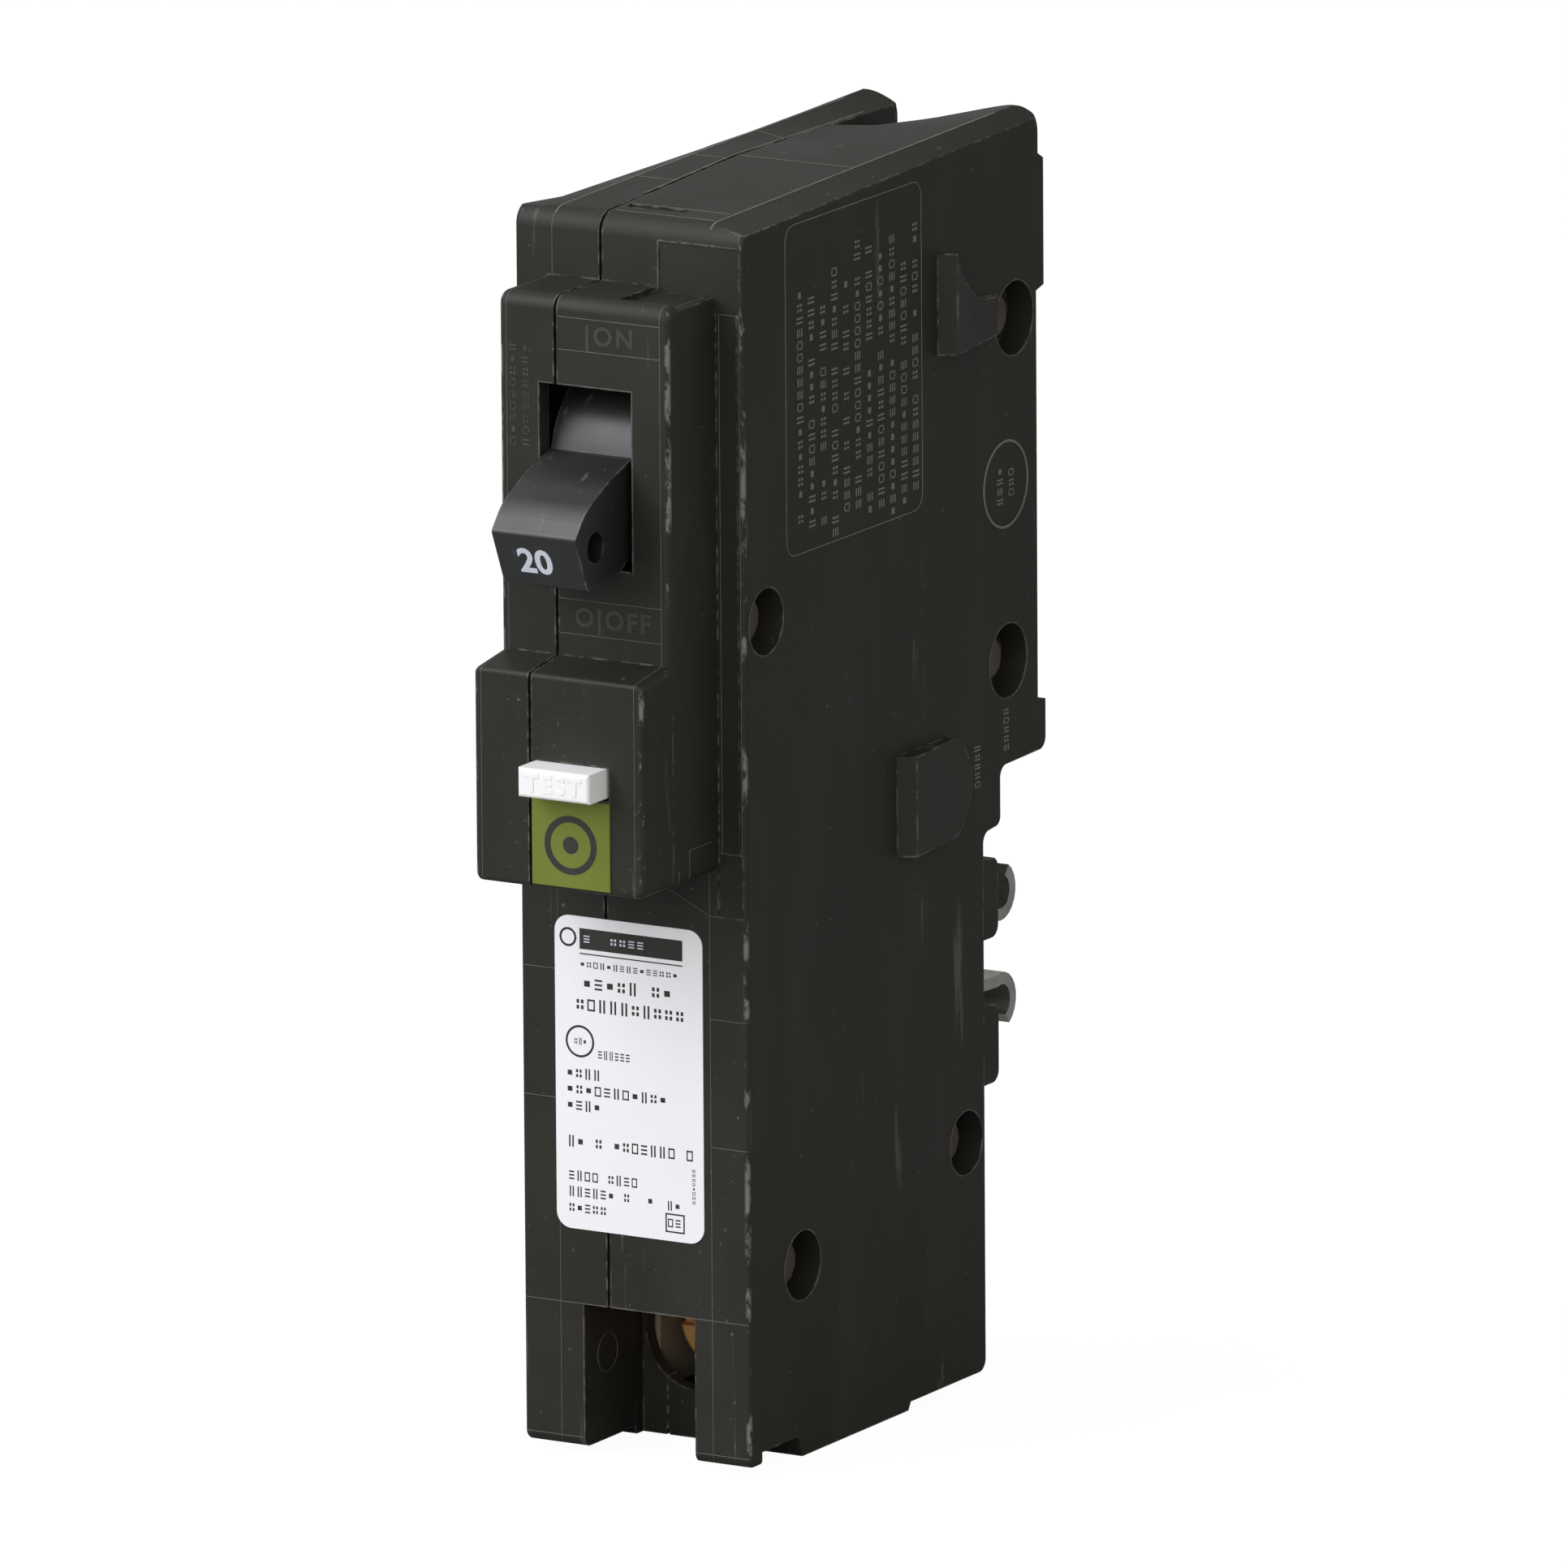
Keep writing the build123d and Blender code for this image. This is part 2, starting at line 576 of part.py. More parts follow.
def cradle():
    corners = [
        (33.5, 87.1, 0.8), (27.0, 101.6, 2.0), (20.5, 101.8, 1.5), (13.0, 88.0, 2.0), (10.7, 80.4, 0.3),
        (10.7, 77.8, 0.3), (13.6, 77.8, 0.3), (16.0, 85.6, 2.0), (22.4, 97.4, 1.5), (25.2, 97.0, 1.5),
        (31.0, 84.0, 0.5), (33.5, 81.9, 0.8), (36.1, 84.5, 1.2),
    ]
    shape = side(corners, CRADLE_X)
    shape -= rod_x(CRADLE_PIVOT, CRADLE_PIN_RADIUS + RUNNING_CLEARANCE, CRADLE_X)
    return shape - rod_x(CRADLE_HOOK, HOOK_RADIUS, CRADLE_X)


def coil_tube(start, finish, outer, inner):
    # Stand-in for a coil spring: a tube between two points
    along = Vector(*finish) - Vector(*start)
    plane = Plane(origin=start, z_dir=along.normalized())
    return extrude(plane * (Circle(outer) - Circle(inner)), along.length)


def toggle_spring():
    return coil_tube((14.35, 22.1, 91.4), (14.35, 22.0, 98.8), 0.8, 0.4)


def flexible_braid():
    route = [(10.7, 20.2, 89.2), (10.5, 19.0, 82.6), (9.0, 14.0, 77.2), (8.9, 6.4, 75.2), (12.2, 5.85, 74.2)]
    path = FilletPolyline(*route, radius=[1.8, 2.2, 2.0])
    return sweep(Plane(origin=path @ 0, z_dir=path % 0) * Circle(0.75), path)


def bimetal():
    return box(BIMETAL_X, BIMETAL_Y, BIMETAL_Z)


def bimetal_bracket():
    # upright plate behind the strip's foot, with a foot of its own on the load strap
    width = (11.0, 18.0)
    low = STRAP_Z[0]
    shape = box(width, (BIMETAL_Y[1], 6.4), (low, 41.0)) + box(width, (6.0, 9.0), STRAP_Z)
    return shape - rod_y(CALIBRATION, CALIBRATION_RADIUS + PRESS_CLEARANCE, (4, 8))


def calibration_screw():
    head = (10.5, 12.0)
    shape = rod_y(CALIBRATION, CALIBRATION_RADIUS, (BIMETAL_Y[1] + 0.05, head[0]))
    shape += rod_y(CALIBRATION, CALIBRATION_RADIUS + 1.0, head)
    slot = (CALIBRATION[1] - 0.3, CALIBRATION[1] + 0.3)
    return shape - box((10, 19), (head[1] - 0.6, head[1] + 1), slot)


def magnetic_yoke():
    cheek_rear = 7.6
    shape = box(YOKE_X, YOKE_FRONT_Y, YOKE_Z)
    for x in ((YOKE_X[0], YOKE_X[0] + YOKE_CHEEK), (YOKE_X[1] - YOKE_CHEEK, YOKE_X[1])):
        shape += box(x, (YOKE_FRONT_Y[0], cheek_rear), YOKE_Z)
        # ear for the armature pin
        shape += box(x, (cheek_rear - 0.5, 11.4), (YOKE_Z[0], YOKE_Z[0] + 3.2))
        shape -= rod_x(ARMATURE_PIVOT, ARMATURE_PIN_RADIUS + PRESS_CLEARANCE, x)
    return shape


def armature():
    shape = box(ARMATURE_X, ARMATURE_Y, ARMATURE_Z) + rod_x(ARMATURE_PIVOT, 1.2, ARMATURE_X)
    shape -= rod_x(ARMATURE_PIVOT, ARMATURE_PIN_RADIUS + RUNNING_CLEARANCE, ARMATURE_X)
    latch_window = box((14.8, 17.0), (8, 12), (77.6, 80.9))
    return shape - latch_window


def arc_plates():
    throat = rod_z((12.4, 40.0), 3.2, (70, 110))
    plates = []
    for level in range(ARC_PLATES):
        low = ARC_PLATE_LOW + ARC_PLATE_PITCH * level
        plate = box(ARC_PLATE_X, (40.5, 50.0), (low, low + ARC_PLATE_THICKNESS))
        plates.append(plate - throat)
    return plates


def arc_side_cards():
    near, far = ARC_PLATE_X
    sides = ((near - 0.65, near - 0.05), (far + 0.05, far + 0.65))
    return [box(x, (40.2, 50.4), (78.6, 97.0)) for x in sides]


def test_button():
    shape = box(BUTTON_X, (BUTTON_FRONT, -11.6), BUTTON_Z)
    front = [edge for edge in shape.edges() if abs(edge.center().Y - BUTTON_FRONT) < 0.01]
    shape = fillet(front, 0.35)
    shape += box((8.8, 19.4), (-12.1, -11.0), (66.8, 73.3))
    return shape + rod_y(BUTTON_CENTRE, BUTTON_STEM, (-11.5, -2.7))


def test_button_spring():
    x, z = BUTTON_CENTRE
    return coil_tube((x, -10.9, z), (x, -4.7, z), 2.6, 2.0)


def button_carrier():
    shape = box((5.3, 20.1), CARRIER_Y, (61.0, 78.0))
    shape -= rod_y(BUTTON_CENTRE, BUTTON_STEM + 0.1, (-6, -2))
    for z in CARRIER_FEET_Z:
        shape += rod_y((BUTTON_CENTRE[0], z), 0.9, (CARRIER_Y[1] - 0.2, -0.7))
    return shape


def test_contact():
    return box((11.6, 16.7), (-0.7, -0.3), (61.4, 77.6))


def indicator_patch():
    return box((9.85, 18.5), (LOWER_NOSE_Y - 0.15, LOWER_NOSE_Y), (59.4, 68.1))


def rating_label():
    corners = [(3.9, 21.8, 1.6), (20.4, 21.8, 1.6), (20.4, 52.9, 1.6), (3.9, 52.9, 1.6)]
    return extrude(Plane.XZ * outline(corners), 0.12, dir=(0, -1, 0))


def solenoid_frame():
    x = (SOLENOID[0] - SOLENOID_HALF, SOLENOID[0] + SOLENOID_HALF)
    z = (SOLENOID[1] - SOLENOID_HALF, SOLENOID[1] + SOLENOID_HALF)
    shape = box(x, (SOLENOID_Y[0] - 1, SOLENOID_Y[1] + 1), (z[1], z[1] + 1.0))
    for y in ((SOLENOID_Y[0] - 1, SOLENOID_Y[0]), (SOLENOID_Y[1], SOLENOID_Y[1] + 1)):
        shape += box(x, y, (z[0], z[1] + 0.5)) - rod_y(SOLENOID, PLUNGER_RADIUS + 0.15, y)
    return shape


def solenoid_bobbin():
    front, rear = SOLENOID_Y
    flange = SOLENOID_HALF - 0.4
    shape = rod_y(SOLENOID, BOBBIN_CORE, SOLENOID_Y)
    shape += rod_y(SOLENOID, flange, (front, front + BOBBIN_FLANGE))
    shape += rod_y(SOLENOID, flange, (rear - BOBBIN_FLANGE, rear))
    return shape - rod_y(SOLENOID, PLUNGER_RADIUS + 0.1, SOLENOID_Y)


def solenoid_coil():
    y = (SOLENOID_Y[0] + BOBBIN_FLANGE, SOLENOID_Y[1] - BOBBIN_FLANGE)
    return rod_y(SOLENOID, 4.7, y) - rod_y(SOLENOID, BOBBIN_CORE, y)


def solenoid_plunger():
    shape = rod_y(SOLENOID, PLUNGER_RADIUS, (18.2, 40.6)) + rod_y(SOLENOID, 0.9, (12.9, 18.4))
    return shape + rod_y(SOLENOID, 1.0, (40.4, 45.0)) + rod_y(SOLENOID, 2.6, (44.2, 45.0))


def plunger_spring():
    x, z = SOLENOID
    return coil_tube((x, 39.1, z), (x, 44.1, z), 2.4, 1.9)


def armature_spring():
    return coil_tube((12.8, 5.1, 72.6), (12.8, 9.3, 72.6), 1.0, 0.6)


def sensor_core():
    z = (SENSOR_Z[0] + 0.8, SENSOR_Z[1] - 0.8)
    return rod_z(SENSOR, 5.8, z) - rod_z(SENSOR, 3.6, z)


def sensor_winding():
    return rod_z(SENSOR, 6.6, SENSOR_Z) - rod_z(SENSOR, 2.8, SENSOR_Z) - sensor_core()


def load_strap():
    x = (13.4, 17.4)
    rear = (25.4, 26.6)
    return box(x, (9.0, rear[1]), STRAP_Z) + box(x, rear, (LUG_Z[1], STRAP_Z[1]))


def terminal_lug():
    shape = box(LUG_X, LUG_Y, LUG_Z)
    shape = chamfer(shape.edges().filter_by(Axis.Z), 0.8)
    shape -= rod_z((TERMINAL_X, WIRE_Y), WIRE_RADIUS, (LUG_Z[0] - 1, LUG_Z[1] + 1))
    return shape - rod_y((TERMINAL_X, TERMINAL_Z), SCREW_RADIUS + RUNNING_CLEARANCE, (LUG_Y[0] - 1, WIRE_Y))


def terminal_screw():
    centre = (TERMINAL_X, TERMINAL_Z)
    head = rod_y(centre, SCREW_HEAD, (SCREW_FACE_Y, SCREW_FACE_Y + SCREW_HEAD_HEIGHT))
    head = chamfer(head.edges().sort_by(Axis.Y)[0], 0.5)
    shape = head + rod_y(centre, SCREW_RADIUS, (SCREW_FACE_Y + 1, WIRE_Y - WIRE_RADIUS - 0.2))
    # one long slot and a short cross slot
    depth = (SCREW_FACE_Y - 1, SCREW_FACE_Y + SCREW_SLOT[1])
    for across, up in ((SCREW_HEAD + 1, SCREW_SLOT[0]), (SCREW_SLOT[0], SCREW_CROSS)):
        x = (TERMINAL_X - across, TERMINAL_X + across)
        shape -= box(x, depth, (TERMINAL_Z - up, TERMINAL_Z + up))
    return shape


def neutral_leaf(points, thickness, x):
    pieces = []
    for sign in (1, -1):
        line = [(y, NEUTRAL_Z + sign * z) for y, z in points]
        pieces.append(side(strip(line, thickness), x))
    return pieces


def neutral_jaw():
    shape = box(NEUTRAL_X, NEUTRAL_ROOT_Y, (NEUTRAL_Z - 6.2, NEUTRAL_Z + 6.2))
    # tag for the lead
    shape += box((20.7, NEUTRAL_X[1]), NEUTRAL_ROOT_Y, (NEUTRAL_Z + 6.0, 52.0))
    lip = [(36.2, 5.9), (44.0, 5.2), (50.0, 3.2)]
    for angle in range(-110, 61, 17):
        turn = math.radians(angle)
        y, z = LIP_CENTRE
        lip.append((y + LIP_RADIUS * math.cos(turn), z + LIP_RADIUS * math.sin(turn)))
    for leaf in neutral_leaf(lip, FINGER_THICKNESS, NEUTRAL_X):
        shape += leaf
    return shape


def neutral_jaw_clip():
    x = (14.0, 20.4)
    shape = box(x, (34.8, 35.4), (NEUTRAL_Z - 7.1, NEUTRAL_Z + 7.1))
    for leaf in neutral_leaf([(34.9, 6.9), (44.5, 6.4), (49.5, 4.5)], 0.5, x):
        shape += leaf
    return shape


def neutral_lead():
    route = [(21.6, 35.9, 51.2), (20.8, 31.0, 51.0), (12.0, 28.4, 51.4), (5.0, 28.0, 51.0)]
    path = FilletPolyline(*route, radius=[2.0, 4.0])
    return sweep(Plane(origin=path @ 0, z_dir=path % 0) * Circle(0.9), path)


def circuit_board():
    board = box(BOARD_X, BOARD_Y, BOARD_Z)
    return board - rod_x(RIVETS[3][:2], RIVETS[3][2] + RIVET_BOSS_WALL + 0.4, BOARD_X)


def on_board(height, y, z):
    return box((BOARD_X[1], BOARD_X[1] + height), y, z)


def controller_chips():
    places = [(1.2, (14, 21), (50, 57)), (1.0, (12, 16), (62, 67)), (1.0, (20, 24), (62, 67))]
    return [on_board(*place) for place in places]


def capacitors():
    return [rod_z((BOARD_X[1] + 1.45, y), 1.4, (57.0, 66.0)) for y in (29.0, 32.6, 36.2)]


def film_capacitor():
    return on_board(2.8, (23.0, 34.0), (33.0, 40.0))


def varistor():
    return rod_x((36.6, 49.0), 4.2, (BOARD_X[1] + 0.1, BOARD_X[1] + 2.6))


def resistors():
    return [rod_z((BOARD_X[1] + 0.95, 7.0 + 2.6 * index), 0.8, (36.0, 41.5)) for index in range(5)]


def trip_thyristor():
    return on_board(1.7, (30.0, 36.0), (69.0, 75.0))


def board_header():
    return on_board(2.6, (18.0, 28.0), (27.0, 30.0))


left_shell, right_shell = shells()
NODES = {
    "left_shell": left_shell,
    "right_shell": right_shell,
    "divider_plate": divider_plate(),
    "case_rivets": case_rivets(),
    "handle": handle(),
    "handle_pin": rod_x(HANDLE_PIVOT, HANDLE_PIN_RADIUS, (4.5, 21.5)),
    "arm_pin": rod_x(ARM_SEAT, ARM_PIN_RADIUS, (9.9, 14.9)),
    "contact_arm": contact_arm(),
    "moving_contact": moving_contact(),
    "fixed_contact": fixed_contact(),
    "line_strap": line_strap(),
    "line_jaw": line_jaw(),
    "line_jaw_clip": line_jaw_clip(),
    "cradle": cradle(),
    "cradle_pin": rod_x(CRADLE_PIVOT, CRADLE_PIN_RADIUS, (14.8, 21.9)),
    "toggle_spring": toggle_spring(),
    "flexible_braid": flexible_braid(),
    "bimetal": bimetal(),
    "bimetal_bracket": bimetal_bracket(),
    "calibration_screw": calibration_screw(),
    "magnetic_yoke": magnetic_yoke(),
    "armature": armature(),
    "armature_pin": rod_x(ARMATURE_PIVOT, ARMATURE_PIN_RADIUS, YOKE_X),
    "armature_spring": armature_spring(),
    "arc_plates": arc_plates(),
    "arc_side_cards": arc_side_cards(),
    "test_button": test_button(),
    "test_button_spring": test_button_spring(),
    "button_carrier": button_carrier(),
    "test_contact": test_contact(),
    "indicator_patch": indicator_patch(),
    "rating_label": rating_label(),
    "solenoid_frame": solenoid_frame(),
    "solenoid_bobbin": solenoid_bobbin(),
    "solenoid_coil": solenoid_coil(),
    "solenoid_plunger": solenoid_plunger(),
    "plunger_spring": plunger_spring(),
    "sensor_core": sensor_core(),
    "sensor_winding": sensor_winding(),
    "load_strap": load_strap(),
    "terminal_lug": terminal_lug(),
    "terminal_screw": terminal_screw(),
    "neutral_jaw": neutral_jaw(),
    "neutral_jaw_clip": neutral_jaw_clip(),
    "neutral_lead": neutral_lead(),
    "circuit_board": circuit_board(),
    "controller_chips": controller_chips(),
    "capacitors": capacitors(),
    "film_capacitor": film_capacitor(),
    "varistor": varistor(),
    "resistors": resistors(),
    "trip_thyristor": trip_thyristor(),
    "board_header": board_header(),
}

os.makedirs("parts", exist_ok=True)
to_origin = Pos(-STAB_X, -JAW_MOUTH[0], -JAW_MOUTH[1])
for name, piece in NODES.items():
    solids = piece if isinstance(piece, list) else [piece]
    placed = [to_origin * solid for solid in solids]
    placed = Compound(children=placed) if len(placed) > 1 else placed[0]
    export_step(placed, f"parts/{name}.step")
    print(name, round(sum(solid.volume for solid in solids), 1))
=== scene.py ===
import bpy, bmesh, json, math, random
from mathutils import Matrix, Vector
from mathutils.bvhtree import BVHTree


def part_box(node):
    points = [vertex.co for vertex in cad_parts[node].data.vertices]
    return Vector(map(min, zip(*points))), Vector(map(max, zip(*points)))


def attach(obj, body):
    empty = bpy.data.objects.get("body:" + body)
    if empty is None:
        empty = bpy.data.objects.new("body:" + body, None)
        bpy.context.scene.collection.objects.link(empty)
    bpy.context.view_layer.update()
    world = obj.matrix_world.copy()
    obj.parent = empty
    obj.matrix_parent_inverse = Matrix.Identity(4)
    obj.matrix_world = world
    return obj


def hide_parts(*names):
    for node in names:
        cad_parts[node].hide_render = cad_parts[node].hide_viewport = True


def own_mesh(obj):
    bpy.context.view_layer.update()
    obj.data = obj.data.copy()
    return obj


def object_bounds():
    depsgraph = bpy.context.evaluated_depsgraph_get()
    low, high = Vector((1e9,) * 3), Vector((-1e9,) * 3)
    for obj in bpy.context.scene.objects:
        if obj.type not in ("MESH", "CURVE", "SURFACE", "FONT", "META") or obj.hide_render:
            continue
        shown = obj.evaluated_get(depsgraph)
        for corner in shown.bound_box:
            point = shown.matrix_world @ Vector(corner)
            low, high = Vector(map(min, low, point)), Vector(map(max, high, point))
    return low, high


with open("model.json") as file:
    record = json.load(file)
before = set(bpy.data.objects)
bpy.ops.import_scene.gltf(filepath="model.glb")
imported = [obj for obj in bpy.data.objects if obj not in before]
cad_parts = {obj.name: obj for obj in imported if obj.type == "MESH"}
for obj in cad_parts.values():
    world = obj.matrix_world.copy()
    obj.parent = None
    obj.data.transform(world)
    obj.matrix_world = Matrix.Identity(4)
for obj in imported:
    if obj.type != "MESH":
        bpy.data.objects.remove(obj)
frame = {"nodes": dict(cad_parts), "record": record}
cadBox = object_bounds()
print("frame loaded:", len(frame["nodes"]), "nodes")

mm = 0.001
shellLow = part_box("left_shell")[0]
pole = dict(width=25.4, noseFront=-14.05, upperNoseFront=-8.7, padBottom=-0.8)


def at(x, y, z):
    # maker's axes in mm (left face, body front, feet) to the row frame in metres
    return Vector(
        (
            shellLow[0] + x * mm, shellLow[1] + (y - pole["noseFront"]) * mm,
            shellLow[2] + (z - pole["padBottom"]) * mm
        )
    )


# materials
def newMaterial(name):
    material = bpy.data.materials.new(name)
    material.use_nodes = True
    tree = material.node_tree
    shader = next(node for node in tree.nodes if node.type == "BSDF_PRINCIPLED")
    return material, tree, shader


def addNode(tree, kind, inputs=None, **settings):
    node = tree.nodes.new(kind)
    for key, value in settings.items():
        setattr(node, key, value)
    for key, value in (inputs or {}).items():
        if hasattr(value, "is_output"):
            tree.links.new(value, node.inputs[key])
        else:
            node.inputs[key].default_value = value
    return node


def math2(tree, operation, a, b=0.0):
    return addNode(tree, "ShaderNodeMath", {0: a, 1: b}, operation=operation).outputs[0]


def mixColour(tree, factor, a, b, blend="MIX"):
    node = addNode(tree, "ShaderNodeMix", data_type="RGBA", blend_type=blend)
    for socket, value in ((node.inputs[0], factor), (node.inputs[6], a), (node.inputs[7], b)):
        if hasattr(value, "is_output"):
            tree.links.new(value, socket)
        else:
            socket.default_value = value
    return node.outputs[2]


def rgba(colour, gain=1.0):
    return (colour[0] * gain, colour[1] * gain, colour[2] * gain, 1)


def objectNoise(tree, scale, detail=4.0, stretch=(1, 1, 1), roughness=0.55):
    coords = addNode(tree, "ShaderNodeTexCoord")
    mapping = addNode(tree, "ShaderNodeMapping", {"Vector": coords.outputs["Object"], "Scale": stretch})
    return addNode(
        tree, "ShaderNodeTexNoise",
        {"Vector": mapping.outputs[0], "Scale": scale, "Detail": detail, "Roughness": roughness}
    ).outputs[0]


def ramp(tree, value, low, high):
    return addNode(
        tree, "ShaderNodeMapRange", {"Value": value, "From Min": low, "From Max": high}, clamp=True
    ).outputs[0]


def edgeMask(tree, radius):
    bevel = addNode(tree, "ShaderNodeBevel", {"Radius": radius}, samples=4)
    geometry = addNode(tree, "ShaderNodeNewGeometry")
    dot = addNode(
        tree, "ShaderNodeVectorMath", {0: bevel.outputs[0], 1: geometry.outputs["Normal"]},
        operation="DOT_PRODUCT"
    )
    return ramp(tree, dot.outputs["Value"], 0.985, 0.84)


def uprightHighlightMask(tree, edges, reach):
    # 1 close to the rounded upright edges at the given x and y, falling to 0 at the reach; this mask places
    # a painted highlight along those edges
    coords = addNode(tree, "ShaderNodeTexCoord").outputs["Object"]
    near = None
    for x, y in edges:
        spot = at(x, y, 0)
        flat = addNode(tree, "ShaderNodeVectorMath", {0: coords, 1: (1, 1, 0)}, operation="MULTIPLY")
        gap = addNode(
            tree, "ShaderNodeVectorMath", {0: flat.outputs[0], 1: (spot.x, spot.y, 0)},
            operation="DISTANCE"
        )
        share = ramp(tree, gap.outputs["Value"], reach, reach * 0.4)
        near = share if near is None else math2(tree, "MAXIMUM", near, share)
    return near


def mouldedPlastic(name, look):
    material, tree, shader = newMaterial(name)
    broad = objectNoise(tree, look["blotchScale"], 3)
    grain = objectNoise(tree, look["grainScale"], 6, roughness=0.7)
    flow = objectNoise(tree, look["flowScale"], 4, stretch=(1, 1, 0.25))
    colour = mixColour(
        tree, ramp(tree, broad, 0.35, 0.7), rgba(look["colour"], 1 - look["blotch"]),
        rgba(look["colour"], 1 + look["blotch"])
    )
    colour = mixColour(tree, ramp(tree, flow, 0.5, 0.75), colour, rgba(look["bloom"]))
    scratches = objectNoise(tree, look["scratchScale"], 5, stretch=(1, 0.35, 0.04), roughness=0.6)
    scratchMask = math2(tree, "MULTIPLY", ramp(tree, scratches, 0.66, 0.72), look["scratch"])
    colour = mixColour(tree, scratchMask, colour, rgba(look["scuff"]))
    wearNoise = ramp(
        tree, objectNoise(tree, look["wearScale"], 5, roughness=0.65), look["wearFrom"],
        look["wearFrom"] + 0.14
    )
    wear = math2(tree, "MULTIPLY", edgeMask(tree, look["edge"]), wearNoise)
    # pale patches along the rounded upright edges are a painted highlight, joined to the edge wear below
    if look["uprights"]:
        highlightPatches = ramp(
            tree, objectNoise(tree, look["highlightPatchScale"], 6, stretch=(1, 1, 0.5), roughness=0.7),
            *look["highlightPatchFrom"]
        )
        upright = math2(
            tree, "MULTIPLY", uprightHighlightMask(tree, look["uprights"], look["highlightReach"]), highlightPatches
        )
        wear = math2(tree, "MAXIMUM", wear, upright)
    wear = math2(tree, "MULTIPLY", wear, look["wear"])
    # the scuff colour covers both the edge wear and the painted highlight on the upright edges
    colour = mixColour(tree, wear, colour, rgba(look["scuff"]))
    specks = ramp(
        tree, objectNoise(tree, look["speckScale"], 2), look["speckFrom"], look["speckFrom"] + 0.04
    )
    colour = mixColour(tree, math2(tree, "MULTIPLY", specks, look["speck"]), colour, rgba(look["scuff"]))
    tree.links.new(colour, shader.inputs["Base Color"])
    rough = math2(tree, "MULTIPLY_ADD", ramp(tree, broad, 0.3, 0.7), look["roughSpread"])
    rough.node.inputs[2].default_value = look["rough"]
    tree.links.new(rough, shader.inputs["Roughness"])
    shader.inputs["Specular IOR Level"].default_value = look["gloss"]
    bump = addNode(
        tree, "ShaderNodeBump",
        {"Height": grain, "Strength": look["grain"], "Distance": look["grainDepth"]}
    )
    wave = addNode(
        tree, "ShaderNodeBump",
        {
            "Height": flow, "Strength": look["ripple"], "Distance": look["rippleDepth"],
            "Normal": bump.outputs[0]
        }
    )
    tree.links.new(wave.outputs[0], shader.inputs["Normal"])
    return material


def metal(name, look):
    material, tree, shader = newMaterial(name)
    brush = objectNoise(tree, look["brushScale"], 5, stretch=look["brushAlong"], roughness=0.7)
    stain = objectNoise(tree, look["stainScale"], 4)
    colour = mixColour(tree, ramp(tree, stain, 0.35, 0.7), rgba(look["colour"]), rgba(look["stain"]))
    wear = math2(tree, "MULTIPLY", edgeMask(tree, look["edge"]), 0.6)
    colour = mixColour(tree, wear, colour, rgba(look["worn"]))
    tree.links.new(colour, shader.inputs["Base Color"])
    rough = math2(tree, "MULTIPLY_ADD", brush, look["roughSpread"])
    rough.node.inputs[2].default_value = look["rough"]
    tree.links.new(rough, shader.inputs["Roughness"])
    shader.inputs["Metallic"].default_value = look["metallic"]
    bump = addNode(
        tree, "ShaderNodeBump", {"Height": brush, "Strength": look["brush"], "Distance": 0.00003}
    )
    tree.links.new(bump.outputs[0], shader.inputs["Normal"])
    return material


# the upright-edge list, its reach and its patch noise lay a painted highlight on rounded upright edges
plasticLook = dict(
    colour=(0.0240, 0.0228, 0.0185), bloom=(0.030, 0.0292, 0.0255), scuff=(0.27, 0.262, 0.245),
    blotchScale=60, grainScale=9000, flowScale=140, scratchScale=760, scratch=0.24, wearScale=700,
    wearFrom=0.46, wear=0.7, edge=0.00035, uprights=(), highlightReach=0.00036, highlightPatchScale=420,
    highlightPatchFrom=(0.52, 0.58), speckScale=1800, speckFrom=0.72, speck=0.35, rough=0.42, roughSpread=0.12,
    gloss=0.25, grain=0.25, grainDepth=0.00002, blotch=0.12, ripple=0.12, rippleDepth=0.00012,
)


def plastic(name, **changes):
    return mouldedPlastic(name, {**plasticLook, **changes})


metalLook = dict(
    colour=(0.55, 0.55, 0.56), stain=(0.42, 0.42, 0.44), worn=(0.8, 0.8, 0.8), brushScale=2500,
    brushAlong=(1, 1, 0.1), stainScale=250, edge=0.0001, rough=0.28, roughSpread=0.25, metallic=1.0,
    brush=0.3,
)


def metalOf(name, **changes):
    return metal(name, {**metalLook, **changes})


